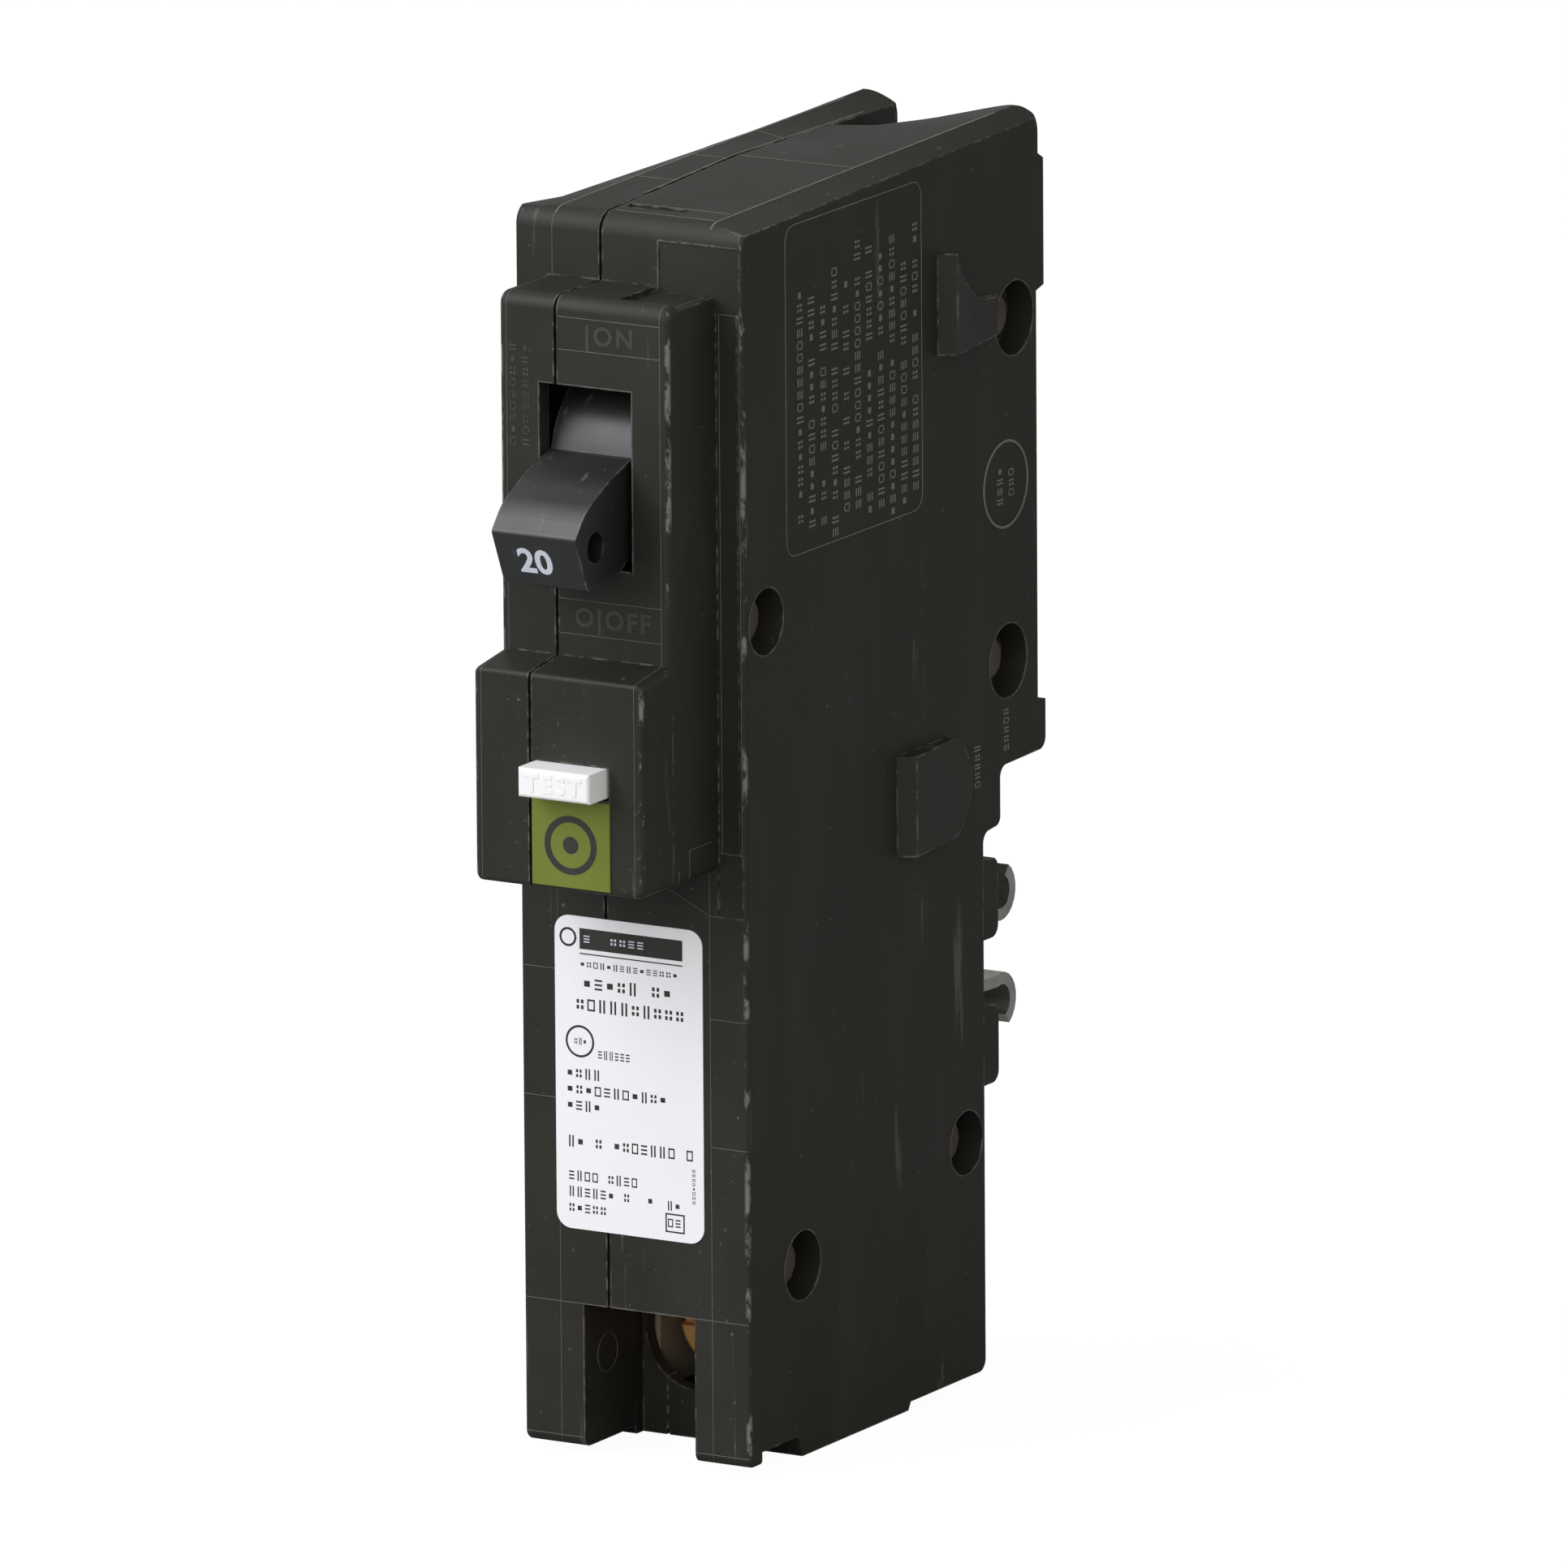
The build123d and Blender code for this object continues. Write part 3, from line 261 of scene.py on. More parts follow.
finishes = {
    "phenolic": plastic(
        "charcoal_casing",
        # rounded upright edges that get the painted highlight
        uprights=[(25.15, 0.2), (21.9, -8.4), (21.9, -13.75), (3.5, -8.4), (3.5, -13.75)]
    ),
    "handle_plastic": plastic(
        "handle_black", colour=(0.012, 0.012, 0.012), bloom=(0.016, 0.017, 0.018), rough=0.38, wear=0.4,
        gloss=0.78
    ),
    "fibre": plastic(
        "fibre_board", colour=(0.30, 0.24, 0.17), bloom=(0.36, 0.30, 0.22), rough=0.7,
        scuff=(0.5, 0.45, 0.35)
    ),
    # pale finish for the raised lines: painted highlight along edges and parting lines
    "edge_line_highlight": plastic(
        "mould_line_highlight", colour=(0.125, 0.122, 0.112), bloom=(0.16, 0.156, 0.145),
        scuff=(0.26, 0.255, 0.24), wear=0.3, rough=0.5
    ),
    # lighter beads for the top ridges: painted highlight along the ridges, brighter than the same lines on
    # the front
    "crest": plastic(
        "worn_crest", colour=(0.24, 0.235, 0.22), bloom=(0.28, 0.275, 0.26), scuff=(0.36, 0.355, 0.34),
        rough=0.5
    ),
    "print": plastic(
        "raised_print", colour=(0.048, 0.047, 0.043), bloom=(0.066, 0.065, 0.060),
        scuff=(0.16, 0.155, 0.15), wear=0.4, rough=0.5
    ),
    "side_print": plastic(
        "side_print", colour=(0.17, 0.166, 0.152), bloom=(0.20, 0.196, 0.18), scuff=(0.26, 0.255, 0.24),
        wear=0.3, rough=0.5
    ),
    "ink": plastic(
        "dark_ink", colour=(0.035, 0.034, 0.030), bloom=(0.045, 0.044, 0.040), scuff=(0.12, 0.12, 0.12),
        wear=0.1, rough=0.45
    ),
    "white_ink": plastic(
        "white_ink", colour=(0.66, 0.70, 0.80), bloom=(0.74, 0.78, 0.86), scuff=(0.5, 0.5, 0.52),
        wear=0.1, rough=0.45, blotch=0.04
    ),
    "white_plastic": plastic(
        "white_button", colour=(0.93, 0.935, 0.94), bloom=(0.95, 0.955, 0.96), scuff=(0.55, 0.55, 0.53),
        scratch=0.1, wear=0.1, rough=0.38, blotch=0.02
    ),
    "olive_ink": plastic(
        "olive_patch", colour=(0.160, 0.188, 0.030), bloom=(0.185, 0.215, 0.04), scuff=(0.09, 0.10, 0.03),
        wear=0.25, rough=0.42
    ),
    "label": plastic(
        "label_paper", colour=(0.93, 0.93, 0.965), bloom=(0.95, 0.95, 0.98), scuff=(0.6, 0.6, 0.62),
        scratch=0.05, wear=0.05, rough=0.36, grain=0.1, blotch=0.01, speck=0.1
    ),
    "bobbin_plastic": plastic(
        "natural_nylon", colour=(0.66, 0.63, 0.55), bloom=(0.72, 0.69, 0.6), scuff=(0.5, 0.48, 0.4),
        wear=0.2, rough=0.45
    ),
    "header": plastic(
        "connector_nylon", colour=(0.70, 0.68, 0.60), bloom=(0.74, 0.72, 0.64), scuff=(0.5, 0.48, 0.4),
        wear=0.2, rough=0.45
    ),
    "ferrite": plastic("ferrite_grey", colour=(0.07, 0.07, 0.075), bloom=(0.10, 0.10, 0.105), rough=0.6),
    "board": plastic(
        "board_green", colour=(0.015, 0.12, 0.045), bloom=(0.02, 0.15, 0.06), scuff=(0.3, 0.4, 0.3),
        wear=0.2, rough=0.3
    ),
    "chip": plastic("chip_black", colour=(0.02, 0.02, 0.022), bloom=(0.03, 0.03, 0.032), rough=0.45),
    "can": plastic("capacitor_sleeve", colour=(0.02, 0.03, 0.11), bloom=(0.03, 0.04, 0.14), rough=0.25),
    "film": plastic("film_orange", colour=(0.50, 0.12, 0.03), bloom=(0.56, 0.15, 0.04), rough=0.3),
    "varistor": plastic("varistor_blue", colour=(0.02, 0.07, 0.30), bloom=(0.03, 0.09, 0.36), rough=0.4),
    "resistor": plastic("resistor_tan", colour=(0.50, 0.40, 0.25), bloom=(0.56, 0.46, 0.30), rough=0.4),
    "wire_white": plastic(
        "wire_white", colour=(0.72, 0.72, 0.70), bloom=(0.76, 0.76, 0.74), scuff=(0.5, 0.5, 0.48),
        wear=0.1, rough=0.4
    ),
    "enamel_wire": metalOf(
        "enamel_copper", colour=(0.50, 0.17, 0.06), stain=(0.40, 0.12, 0.04), worn=(0.7, 0.35, 0.2),
        rough=0.22, metallic=0.8
    ),
    "rivet_steel": metalOf(
        "rivet_dark", colour=(0.13, 0.105, 0.085), stain=(0.08, 0.062, 0.05), worn=(0.22, 0.19, 0.16),
        rough=0.5, metallic=0.3
    ),
    "steel": metalOf("zinc_steel"),
    "spring_steel": metalOf("spring_wire", colour=(0.45, 0.45, 0.46), rough=0.22),
    "bimetal": metalOf("bimetal_strip", colour=(0.40, 0.37, 0.34), stain=(0.33, 0.28, 0.25)),
    "copper": metalOf(
        "bare_copper", colour=(0.72, 0.36, 0.22), stain=(0.50, 0.22, 0.12), worn=(0.9, 0.55, 0.4)
    ),
    "silver": metalOf("contact_silver", colour=(0.80, 0.79, 0.76), stain=(0.62, 0.60, 0.56)),
    "tin": metalOf(
        "tin_plate", colour=(0.62, 0.62, 0.58), stain=(0.48, 0.47, 0.43), worn=(0.72, 0.62, 0.45),
        rough=0.30, brush=0.5
    ),
    "aluminium": metalOf("lug_aluminium", colour=(0.20, 0.20, 0.20), stain=(0.12, 0.12, 0.12), rough=0.5),
    "brass": metalOf(
        "screw_brass", colour=(0.90, 0.50, 0.16), stain=(0.80, 0.42, 0.13), worn=(0.9, 0.65, 0.35),
        rough=0.40, metallic=0.15
    ),
}


def finish(obj, slot):
    obj.data.materials.clear()
    obj.data.materials.append(finishes[slot])


slotOf = {part["node"]: part["material_slot"] for part in frame["record"]["subparts"]}
for node, slot in slotOf.items():
    finish(frame["nodes"][node], slot)
print("materials:", len(finishes))

# small tools for pieces
bodyOf = {node: body for body, nodes in frame["record"]["behaviour"]["bodies"].items() for node in nodes}


def facing(corner, right, up):
    # matrix that lays a drawing's x, y and z along right, up and outwards
    right, up = Vector(right).normalized(), Vector(up).normalized()
    out = right.cross(up)
    turn = Matrix((right, up, out)).transposed().to_4x4()
    return Matrix.Translation(at(*corner)) @ turn


def placed(mesh, matrix):
    mesh.transform(matrix)
    return mesh


def addPiece(name, meshes, body, material, hides=()):
    joined = bmesh.new()
    for mesh in meshes:
        joined.from_mesh(mesh)
    bmesh.ops.recalc_face_normals(joined, faces=joined.faces)
    data = bpy.data.meshes.new(name)
    joined.to_mesh(data)
    joined.free()
    data.materials.clear()
    data.materials.append(material)
    for face in data.polygons:
        face.material_index = 0
    piece = bpy.data.objects.new(name, data)
    bpy.context.collection.objects.link(piece)
    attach(piece, body)
    if hides:
        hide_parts(*hides)
    return piece


def boxMesh(low, high):
    mesh = bmesh.new()
    bmesh.ops.create_cube(mesh, size=1)
    for vert in mesh.verts:
        vert.co = Vector([low[i] * mm if vert.co[i] < 0 else high[i] * mm for i in range(3)])
    data = bpy.data.meshes.new("block")
    mesh.to_mesh(data)
    mesh.free()
    return data


def ringMesh(outer, inner, height, centre=(0, 0), steps=40):
    mesh = bmesh.new()
    loops = []
    for radius, level in ((outer, 0), (outer, height), (inner, height), (inner, 0)):
        loop = []
        for step in range(steps):
            turn = 2 * math.pi * step / steps
            loop.append(
                mesh.verts.new(
                    (
                        (centre[0] + radius * math.cos(turn)) * mm,
                        (centre[1] + radius * math.sin(turn)) * mm, level * mm
                    )
                )
            )
        loops.append(loop)
    for ring in range(4):
        here, there = loops[ring], loops[(ring + 1) % 4]
        for step in range(steps):
            after = (step + 1) % steps
            mesh.faces.new((here[step], here[after], there[after], there[step]))
    data = bpy.data.meshes.new("ring")
    mesh.to_mesh(data)
    mesh.free()
    return data


def textMesh(words, height, depth, bold=0.0, spacing=1.0):
    curve = bpy.data.curves.new("words", "FONT")
    curve.body, curve.align_x, curve.align_y = words, "CENTER", "CENTER"
    curve.size, curve.extrude = height * 1.37 * mm, depth * mm / 2
    curve.offset, curve.space_character = bold * mm, spacing
    curve.resolution_u = 4
    holder = bpy.data.objects.new("words", curve)
    bpy.context.collection.objects.link(holder)
    mesh = bpy.data.meshes.new_from_object(holder.evaluated_get(bpy.context.evaluated_depsgraph_get()))
    bpy.data.objects.remove(holder)
    return mesh


# geometry node trees
def newTree(name, sockets):
    tree = bpy.data.node_groups.new(name, "GeometryNodeTree")
    tree.interface.new_socket("Geometry", in_out="INPUT", socket_type="NodeSocketGeometry")
    for label, kind, default in sockets:
        socket = tree.interface.new_socket(label, in_out="INPUT", socket_type="NodeSocket" + kind)
        if default is not None:
            socket.default_value = default
    tree.interface.new_socket("Geometry", in_out="OUTPUT", socket_type="NodeSocketGeometry")
    return tree, tree.nodes.new("NodeGroupInput"), tree.nodes.new("NodeGroupOutput")


def finishTree(tree, output, geometry, material):
    real = addNode(tree, "GeometryNodeRealizeInstances", {"Geometry": geometry})
    painted = addNode(tree, "GeometryNodeSetMaterial", {"Geometry": real.outputs[0], "Material": material})
    tree.links.new(painted.outputs[0], output.inputs[0])


def runTree(tree, source=None, **values):
    holder = bpy.data.objects.new("maker", source or bpy.data.meshes.new("empty"))
    bpy.context.collection.objects.link(holder)
    modifier = holder.modifiers.new("nodes", "NODES")
    modifier.node_group = tree
    identifiers = {
        item.name: item.identifier for item in tree.interface.items_tree if item.in_out == "INPUT"
    }
    for label, value in values.items():
        modifier[identifiers[label]] = value
    mesh = bpy.data.meshes.new_from_object(holder.evaluated_get(bpy.context.evaluated_depsgraph_get()))
    bpy.data.objects.remove(holder)
    return mesh


def makeLineTree():
    # edges of the source mesh become thin raised beads
    tree, inside, outside = newTree(
        "bead_lines", [("Radius", "Float", 0.00005), ("Material", "Material", None)]
    )
    curve = addNode(tree, "GeometryNodeMeshToCurve", {"Mesh": inside.outputs["Geometry"]})
    profile = addNode(
        tree, "GeometryNodeCurvePrimitiveCircle", {"Resolution": 5, "Radius": inside.outputs["Radius"]}
    )
    bead = addNode(
        tree, "GeometryNodeCurveToMesh",
        {"Curve": curve.outputs[0], "Profile Curve": profile.outputs[0], "Fill Caps": True}
    )
    finishTree(tree, outside, bead.outputs[0], inside.outputs["Material"])
    return tree


def makeGlyphTree():
    # a row of plain marks, none of them a letter, with word gaps
    tree, inside, outside = newTree("mark_row", [
        ("Count", "Int", 8), ("Pitch", "Float", 0.001), ("Height", "Float", 0.0012),
        ("Depth", "Float", 0.00005),
        ("Gaps", "Float", 0.15), ("Seed", "Int", 1), ("Material", "Material", None)])
    pitch, height, depth = inside.outputs["Pitch"], inside.outputs["Height"], inside.outputs["Depth"]
    offset = addNode(tree, "ShaderNodeCombineXYZ", {0: pitch})
    row = addNode(
        tree, "GeometryNodeMeshLine", {"Count": inside.outputs["Count"], "Offset": offset.outputs[0]}
    )
    chance = addNode(
        tree, "FunctionNodeRandomValue",
        {"Probability": inside.outputs["Gaps"], "Seed": inside.outputs["Seed"]}, data_type="BOOLEAN"
    )
    kept = addNode(
        tree, "GeometryNodeDeleteGeometry", {"Geometry": row.outputs[0], "Selection": chance.outputs[3]}
    )
    # each mark is a few bars: (x, y, width, height) in shares of the pitch and the height
    marks = [
        [(-0.28, 0, 0.12, 0.8), (0.28, 0, 0.12, 0.8), (0, 0.34, 0.6, 0.12), (0, -0.34, 0.6, 0.12)],
        [(-0.18, 0, 0.16, 0.9), (0.18, 0, 0.16, 0.9)],
        [(0, 0.3, 0.66, 0.13), (0, 0, 0.66, 0.13), (0, -0.3, 0.66, 0.13)],
        [(0, 0, 0.5, 0.4)],
        [
            (-0.2, 0.2, 0.22, 0.26), (0.2, 0.2, 0.22, 0.26), (-0.2, -0.2, 0.22, 0.26),
            (0.2, -0.2, 0.22, 0.26)
        ],
    ]
    bag = addNode(tree, "GeometryNodeJoinGeometry")
    for bars in marks:
        mark = addNode(tree, "GeometryNodeJoinGeometry")
        for x, y, wide, tall in bars:
            size = addNode(
                tree, "ShaderNodeCombineXYZ",
                {
                    0: math2(tree, "MULTIPLY", pitch, wide), 1: math2(tree, "MULTIPLY", height, tall),
                    2: depth
                }
            )
            bar = addNode(tree, "GeometryNodeMeshCube", {"Size": size.outputs[0]})
            spot = addNode(
                tree, "ShaderNodeCombineXYZ",
                {0: math2(tree, "MULTIPLY", pitch, x), 1: math2(tree, "MULTIPLY", height, y)}
            )
            moved = addNode(
                tree, "GeometryNodeTransform",
                {"Geometry": bar.outputs[0], "Translation": spot.outputs[0]}
            )
            tree.links.new(moved.outputs[0], mark.inputs[0])
        single = addNode(tree, "GeometryNodeGeometryToInstance", {"Geometry": mark.outputs[0]})
        tree.links.new(single.outputs[0], bag.inputs[0])
    choice = addNode(
        tree, "FunctionNodeRandomValue",
        {"Min": 0, "Max": len(marks) - 1, "Seed": inside.outputs["Seed"]}, data_type="INT"
    )
    marksOnRow = addNode(
        tree, "GeometryNodeInstanceOnPoints",
        {
            "Points": kept.outputs[0], "Instance": bag.outputs[0], "Pick Instance": True,
            "Instance Index": choice.outputs[2]
        }
    )
    finishTree(tree, outside, marksOnRow.outputs[0], inside.outputs["Material"])
    return tree


def makeCoilTree():
    tree, inside, outside = newTree("coil", [
        ("Turns", "Float", 8.0), ("Radius", "Float", 0.002), ("Length", "Float", 0.006),
        ("Wire", "Float", 0.0002),
        ("Steps", "Int", 24), ("Material", "Material", None)])
    spiral = addNode(tree, "GeometryNodeCurveSpiral", {
        "Resolution": inside.outputs["Steps"], "Rotations": inside.outputs["Turns"],
        "Start Radius": inside.outputs["Radius"],
        "End Radius": inside.outputs["Radius"], "Height": inside.outputs["Length"]})
    profile = addNode(
        tree, "GeometryNodeCurvePrimitiveCircle", {"Resolution": 8, "Radius": inside.outputs["Wire"]}
    )
    wireMesh = addNode(
        tree, "GeometryNodeCurveToMesh",
        {"Curve": spiral.outputs[0], "Profile Curve": profile.outputs[0], "Fill Caps": True}
    )
    finishTree(tree, outside, wireMesh.outputs[0], inside.outputs["Material"])
    return tree


def makeStudTree():
    # a small block on every point of the source mesh
    tree, inside, outside = newTree(
        "studs", [("Size", "Vector", (0.0005, 0.0005, 0.0005)), ("Material", "Material", None)]
    )
    stud = addNode(tree, "GeometryNodeMeshCube", {"Size": inside.outputs["Size"]})
    studs = addNode(
        tree, "GeometryNodeInstanceOnPoints",
        {"Points": inside.outputs["Geometry"], "Instance": stud.outputs[0]}
    )
    finishTree(tree, outside, studs.outputs[0], inside.outputs["Material"])
    return tree


def makeRingTree():
    # upright rounded loops round a circle, as wire wound on a ring core
    tree, inside, outside = newTree("ring_winding", [
        ("Count", "Int", 60), ("Radius", "Float", 0.005), ("Width", "Float", 0.003),
        ("Height", "Float", 0.008),
        ("Wire", "Float", 0.0001), ("Material", "Material", None)])
    circle = addNode(
        tree, "GeometryNodeMeshCircle",
        {"Vertices": inside.outputs["Count"], "Radius": inside.outputs["Radius"]}
    )
    loop = addNode(
        tree, "GeometryNodeCurvePrimitiveQuadrilateral",
        {"Width": inside.outputs["Width"], "Height": inside.outputs["Height"]}
    )
    profile = addNode(
        tree, "GeometryNodeCurvePrimitiveCircle", {"Resolution": 6, "Radius": inside.outputs["Wire"]}
    )
    turnMesh = addNode(
        tree, "GeometryNodeCurveToMesh", {"Curve": loop.outputs[0], "Profile Curve": profile.outputs[0]}
    )
    upright = addNode(
        tree, "GeometryNodeTransform", {"Geometry": turnMesh.outputs[0], "Rotation": (math.pi / 2, 0, 0)}
    )
    place = addNode(tree, "GeometryNodeInputPosition")
    aim = addNode(tree, "FunctionNodeAlignRotationToVector", {"Vector": place.outputs[0]}, axis="X")
    turns = addNode(
        tree, "GeometryNodeInstanceOnPoints",
        {"Points": circle.outputs[0], "Instance": upright.outputs[0], "Rotation": aim.outputs[0]}
    )
    finishTree(tree, outside, turns.outputs[0], inside.outputs["Material"])
    return tree


lineTree, glyphTree, coilTree = makeLineTree(), makeGlyphTree(), makeCoilTree()
studTree, ringTree = makeStudTree(), makeRingTree()
print("node trees built")

# raised mould lines that follow the casing's faces; their pale colour is a painted highlight along edges
# and parting lines
def caseSurface():
    points, faces = [], []
    for node in ("left_shell", "right_shell"):
        mesh = frame["nodes"][node].data
        first = len(points)
        points += [vert.co.copy() for vert in mesh.vertices]
        faces += [[first + index for index in face.vertices] for face in mesh.polygons]
    return BVHTree.FromPolygons(points, faces)


surface = caseSurface()
lineStep, lineJump = 0.2, 0.0016


def layLine(mesh, start, end, toward):
    # drops a straight run of points onto the casing and keeps the stretches that stay together
    length = (Vector(end) - Vector(start)).length
    count = max(2, int(length / lineStep))
    last = None
    for index in range(count + 1):
        share = index / count
        spot = Vector(start).lerp(Vector(end), share)
        hit, normal, _, _ = surface.ray_cast(at(*spot), Vector(toward), 0.1)
        vert = mesh.verts.new(hit) if hit else None
        if vert and last and (vert.co - last.co).length < lineJump:
            mesh.edges.new((last, vert))
        last = vert


def linesOnCase(runs):
    mesh = bmesh.new()
    for start, end, toward in runs:
        layLine(mesh, start, end, toward)
    loose = [vert for vert in mesh.verts if not vert.link_edges]
    bmesh.ops.delete(mesh, geom=loose, context="VERTS")
    data = bpy.data.meshes.new("runs")
    mesh.to_mesh(data)
    mesh.free()
    return data


intoFront, intoTop, intoRight = (0, 1, 0), (0, 0, -1), (-1, 0, 0)
mouldLines = dict(
    upright=[(4.2, 121.9), (21.2, 115.7)], bead=0.038, notchEdge=6.75,
    ridges=[
        ((4.3, 0.6), (4.7, 9)), ((4.7, 9), (5.6, 26)), ((5.6, 26), (7.2, 51)), ((9.3, 9), (9.3, 51)),
        ((21.5, 0.6), (23.9, 51))
    ],
    rearRuns=[(2, 58), (66, 105)], ridgeBead=0.055,
    legTop=14.3, legFoot=1.0, leftCross=(34.6, 47.4), rightCross=(31.6, 44.3),
    bands=(114.0, 110.8, 86.4, 83.0), bandX=(9.9, 21.2), deckCross=(2.0, 4.9), deckSlope=26.0,
    leftDeck=(14.7, 24.5, 35.6),
    window=(7.7, 18.1, 89.5, 107.4), legFace=6.8, ejector=(4.4, 8.6, 1.9),
    rims=[
        (4.0, 83.2, 3.33), (52.3, 104.1, 3.73), (50.8, 70.2, 3.73), (42.1, 23.6, 3.23), (10.2, 18.2, 3.48)
    ],
)


def makeMouldLines():
    look = mouldLines
    front = -30
    runs = []
    for x, top in look["upright"]:
        runs.append(((x, front, 0.3), (x, front, top), intoFront))
        runs += [((x, 80, low), (x, 80, high), (0, -1, 0)) for low, high in look["rearRuns"]]
        runs.append(((x, -8.6, 120), (x, -0.2, 120), intoTop))
    runs.append(((look["notchEdge"], front, 0.5), (look["notchEdge"], front, look["legTop"]), intoFront))
    runs.append(((0.2, front, look["legTop"] + 0.05), (25.2, front, look["legTop"] + 0.05), intoFront))
    runs.append(((0.2, front, look["legFoot"]), (6.7, front, look["legFoot"]), intoFront))
    runs.append(((19.3, front, look["legFoot"]), (25.2, front, look["legFoot"]), intoFront))
    runs += [((0.1, front, z), (3.9, front, z), intoFront) for z in look["leftCross"]]
    runs += [((21.2, front, z), (25.3, front, z), intoFront) for z in look["rightCross"]]
    runs += [((look["bandX"][0], front, z), (look["bandX"][1], front, z), intoFront) for z in look["bands"]]
    runs += [((10.3, y, 140), (21.2, y, 140), intoTop) for y in look["deckCross"]]
    runs += [((9.8, look["deckSlope"], 140), (22.6, look["deckSlope"], 140), intoTop)]
    runs += [((0.6, y, 140), (9.3, y, 140), intoTop) for y in look["leftDeck"]]
    left, right, low, high = look["window"]
    runs += [
        ((left, front, low), (left, front, high), intoFront),
        ((right, front, low), (right, front, high), intoFront)
    ]
    runs += [((left, front, high), (right, front, high), intoFront)]
    # edges of the shallow marks beside the housing, and of the step under it
    runs += [
        ((16.0, front, 116.2), (16.0, front, 120.4), intoFront),
        ((16.0, front, 120.4), (24.9, front, 120.4), intoFront)
    ]
    runs += [
        ((24.9, front, 54.5), (24.9, front, 122), intoFront),
        ((22.5, front, 113.8), (24.9, front, 113.8), intoFront)
    ]
    runs += [
        ((22.4, front, 60.8), (24.9, front, 60.8), intoFront),
        ((16.5, front, 56.8), (21.0, front, 54.6), intoFront)
    ]
    runs += [
        ((21.0, front, 54.5), (24.9, front, 54.5), intoFront),
        ((22.6, front, 60.8), (22.6, front, 113.8), intoFront)
    ]
    # small plate mark low on the housing's side
    runs += [
        ((40, -5.4, 59.2), (40, -5.4, 62.2), intoRight), ((40, -5.4, 62.2), (40, -1.2, 62.2), intoRight)
    ]
    runs += [((40, -7.4, 59.2), (40, -7.4, 60.6), intoRight)]
    beads = [linesOnCase(runs)]
    # rims of the rivet recesses, and the round ejector mark inside the left leg
    for y, z, radius in look["rims"]:
        beads.append(outlineMesh(circlePoints(y, z, radius, 40), pole["width"]))
    beads.append(outlineMesh(circlePoints(*look["ejector"], 28), look["legFace"]))
    # every bead here takes the pale line finish, a painted highlight
    meshes = [
        runTree(lineTree, bead, Radius=look["bead"] * mm, Material=finishes["edge_line_highlight"]) for bead in beads
    ]
    addPiece("mould_lines", meshes, "case", finishes["edge_line_highlight"])
    # top ridge lines in the lighter finish, a painted highlight along each ridge
    crests = linesOnCase([((*start, 140), (*end, 140), intoTop) for start, end in look["ridges"]])
    crests = runTree(lineTree, crests, Radius=look["ridgeBead"] * mm, Material=finishes["crest"])
    addPiece("top_crests", [crests], "case", finishes["crest"])


# raised print on the right side
sidePrint = dict(
    left=8.0, right=34.2, low=88.6, high=121.1, corner=1.6, rows=11, pitch=2.22, letter=1.22, tall=1.35,
    depth=0.07, ringAt=(50.4, 87.9), ringOuter=4.4, ringInner=4.15,
)


def roundedFrame(left, right, low, high, corner):
    # closed outline in y and z, with rounded corners
    points = []
    for cy, cz, start in (
        (right - corner, high - corner, 0), (left + corner, high - corner, 90),
        (left + corner, low + corner, 180), (right - corner, low + corner, 270)
    ):
        for step in range(7):
            turn = math.radians(start + 15 * step)
            points.append((cy + corner * math.cos(turn), cz + corner * math.sin(turn)))
    return points


def circlePoints(y, z, radius, steps):
    turns = [2 * math.pi * step / steps for step in range(steps)]
    return [(y + radius * math.cos(turn), z + radius * math.sin(turn)) for turn in turns]


def outlineMesh(points, x):
    mesh = bmesh.new()
    verts = [mesh.verts.new(at(x, y, z)) for y, z in points]
    for index, vert in enumerate(verts):
        mesh.edges.new((verts[index - 1], vert))
    data = bpy.data.meshes.new("outline")
    mesh.to_mesh(data)
    mesh.free()
    return data


def glyphRow(count, pitch, tall, depth, gaps, seed, material):
    return runTree(
        glyphTree, Count=count, Pitch=pitch * mm, Height=tall * mm, Depth=depth * mm, Gaps=gaps,
        Seed=seed, Material=material
    )


def makeSidePrint():
    look = sidePrint
    face = pole["width"]
    dice = random.Random(5)
    border = outlineMesh(
        roundedFrame(look["left"], look["right"], look["low"], look["high"], look["corner"]), face
    )
    meshes = [runTree(lineTree, border, Radius=0.05 * mm, Material=finishes["side_print"])]
    for row in range(look["rows"]):
        y = look["left"] + 2.7 + row * look["pitch"]
        start = look["low"] + dice.uniform(0.8, 3.0)
        end = look["high"] - dice.uniform(1.5, 7.0)
        count = int((end - start) / look["letter"])
        mesh = glyphRow(
            count, look["letter"], look["tall"], look["depth"], 0.14, 11 + row, finishes["side_print"]
        )
        meshes.append(placed(mesh, facing((face, y, start), (0, 0, 1), (0, -1, 0))))
    y, z = look["ringAt"]
    meshes.append(
        placed(
            ringMesh(look["ringOuter"], look["ringInner"], look["depth"]),
            facing((face, y, z), (0, 1, 0), (0, 0, 1))
        )
    )
    small = [
        (49.3, 86.3, 4, 1.0, (0, 0, 1)), (51.5, 86.9, 3, 1.0, (0, 0, 1)), (50.3, 61.6, 5, 0.9, (0, 0, 1)),
        (44.6, 59.0, 5, 0.9, (0, 0, 1))
    ]
    for number, (y, z, count, pitch, along) in enumerate(small):
        mesh = glyphRow(count, pitch, 1.3, look["depth"], 0.0, 40 + number, finishes["side_print"])
        meshes.append(placed(mesh, facing((face, y, z), along, (0, -1, 0))))
    addPiece("side_print", meshes, "case", finishes["side_print"])


# words and marks on the front
frontMarks = dict(
    on=(15.6, 112.35), off=(15.8, 84.65), tall=1.9, depth=0.06, serialX=(4.9, 6.3), serialZ=(101.3, 112.0)
)


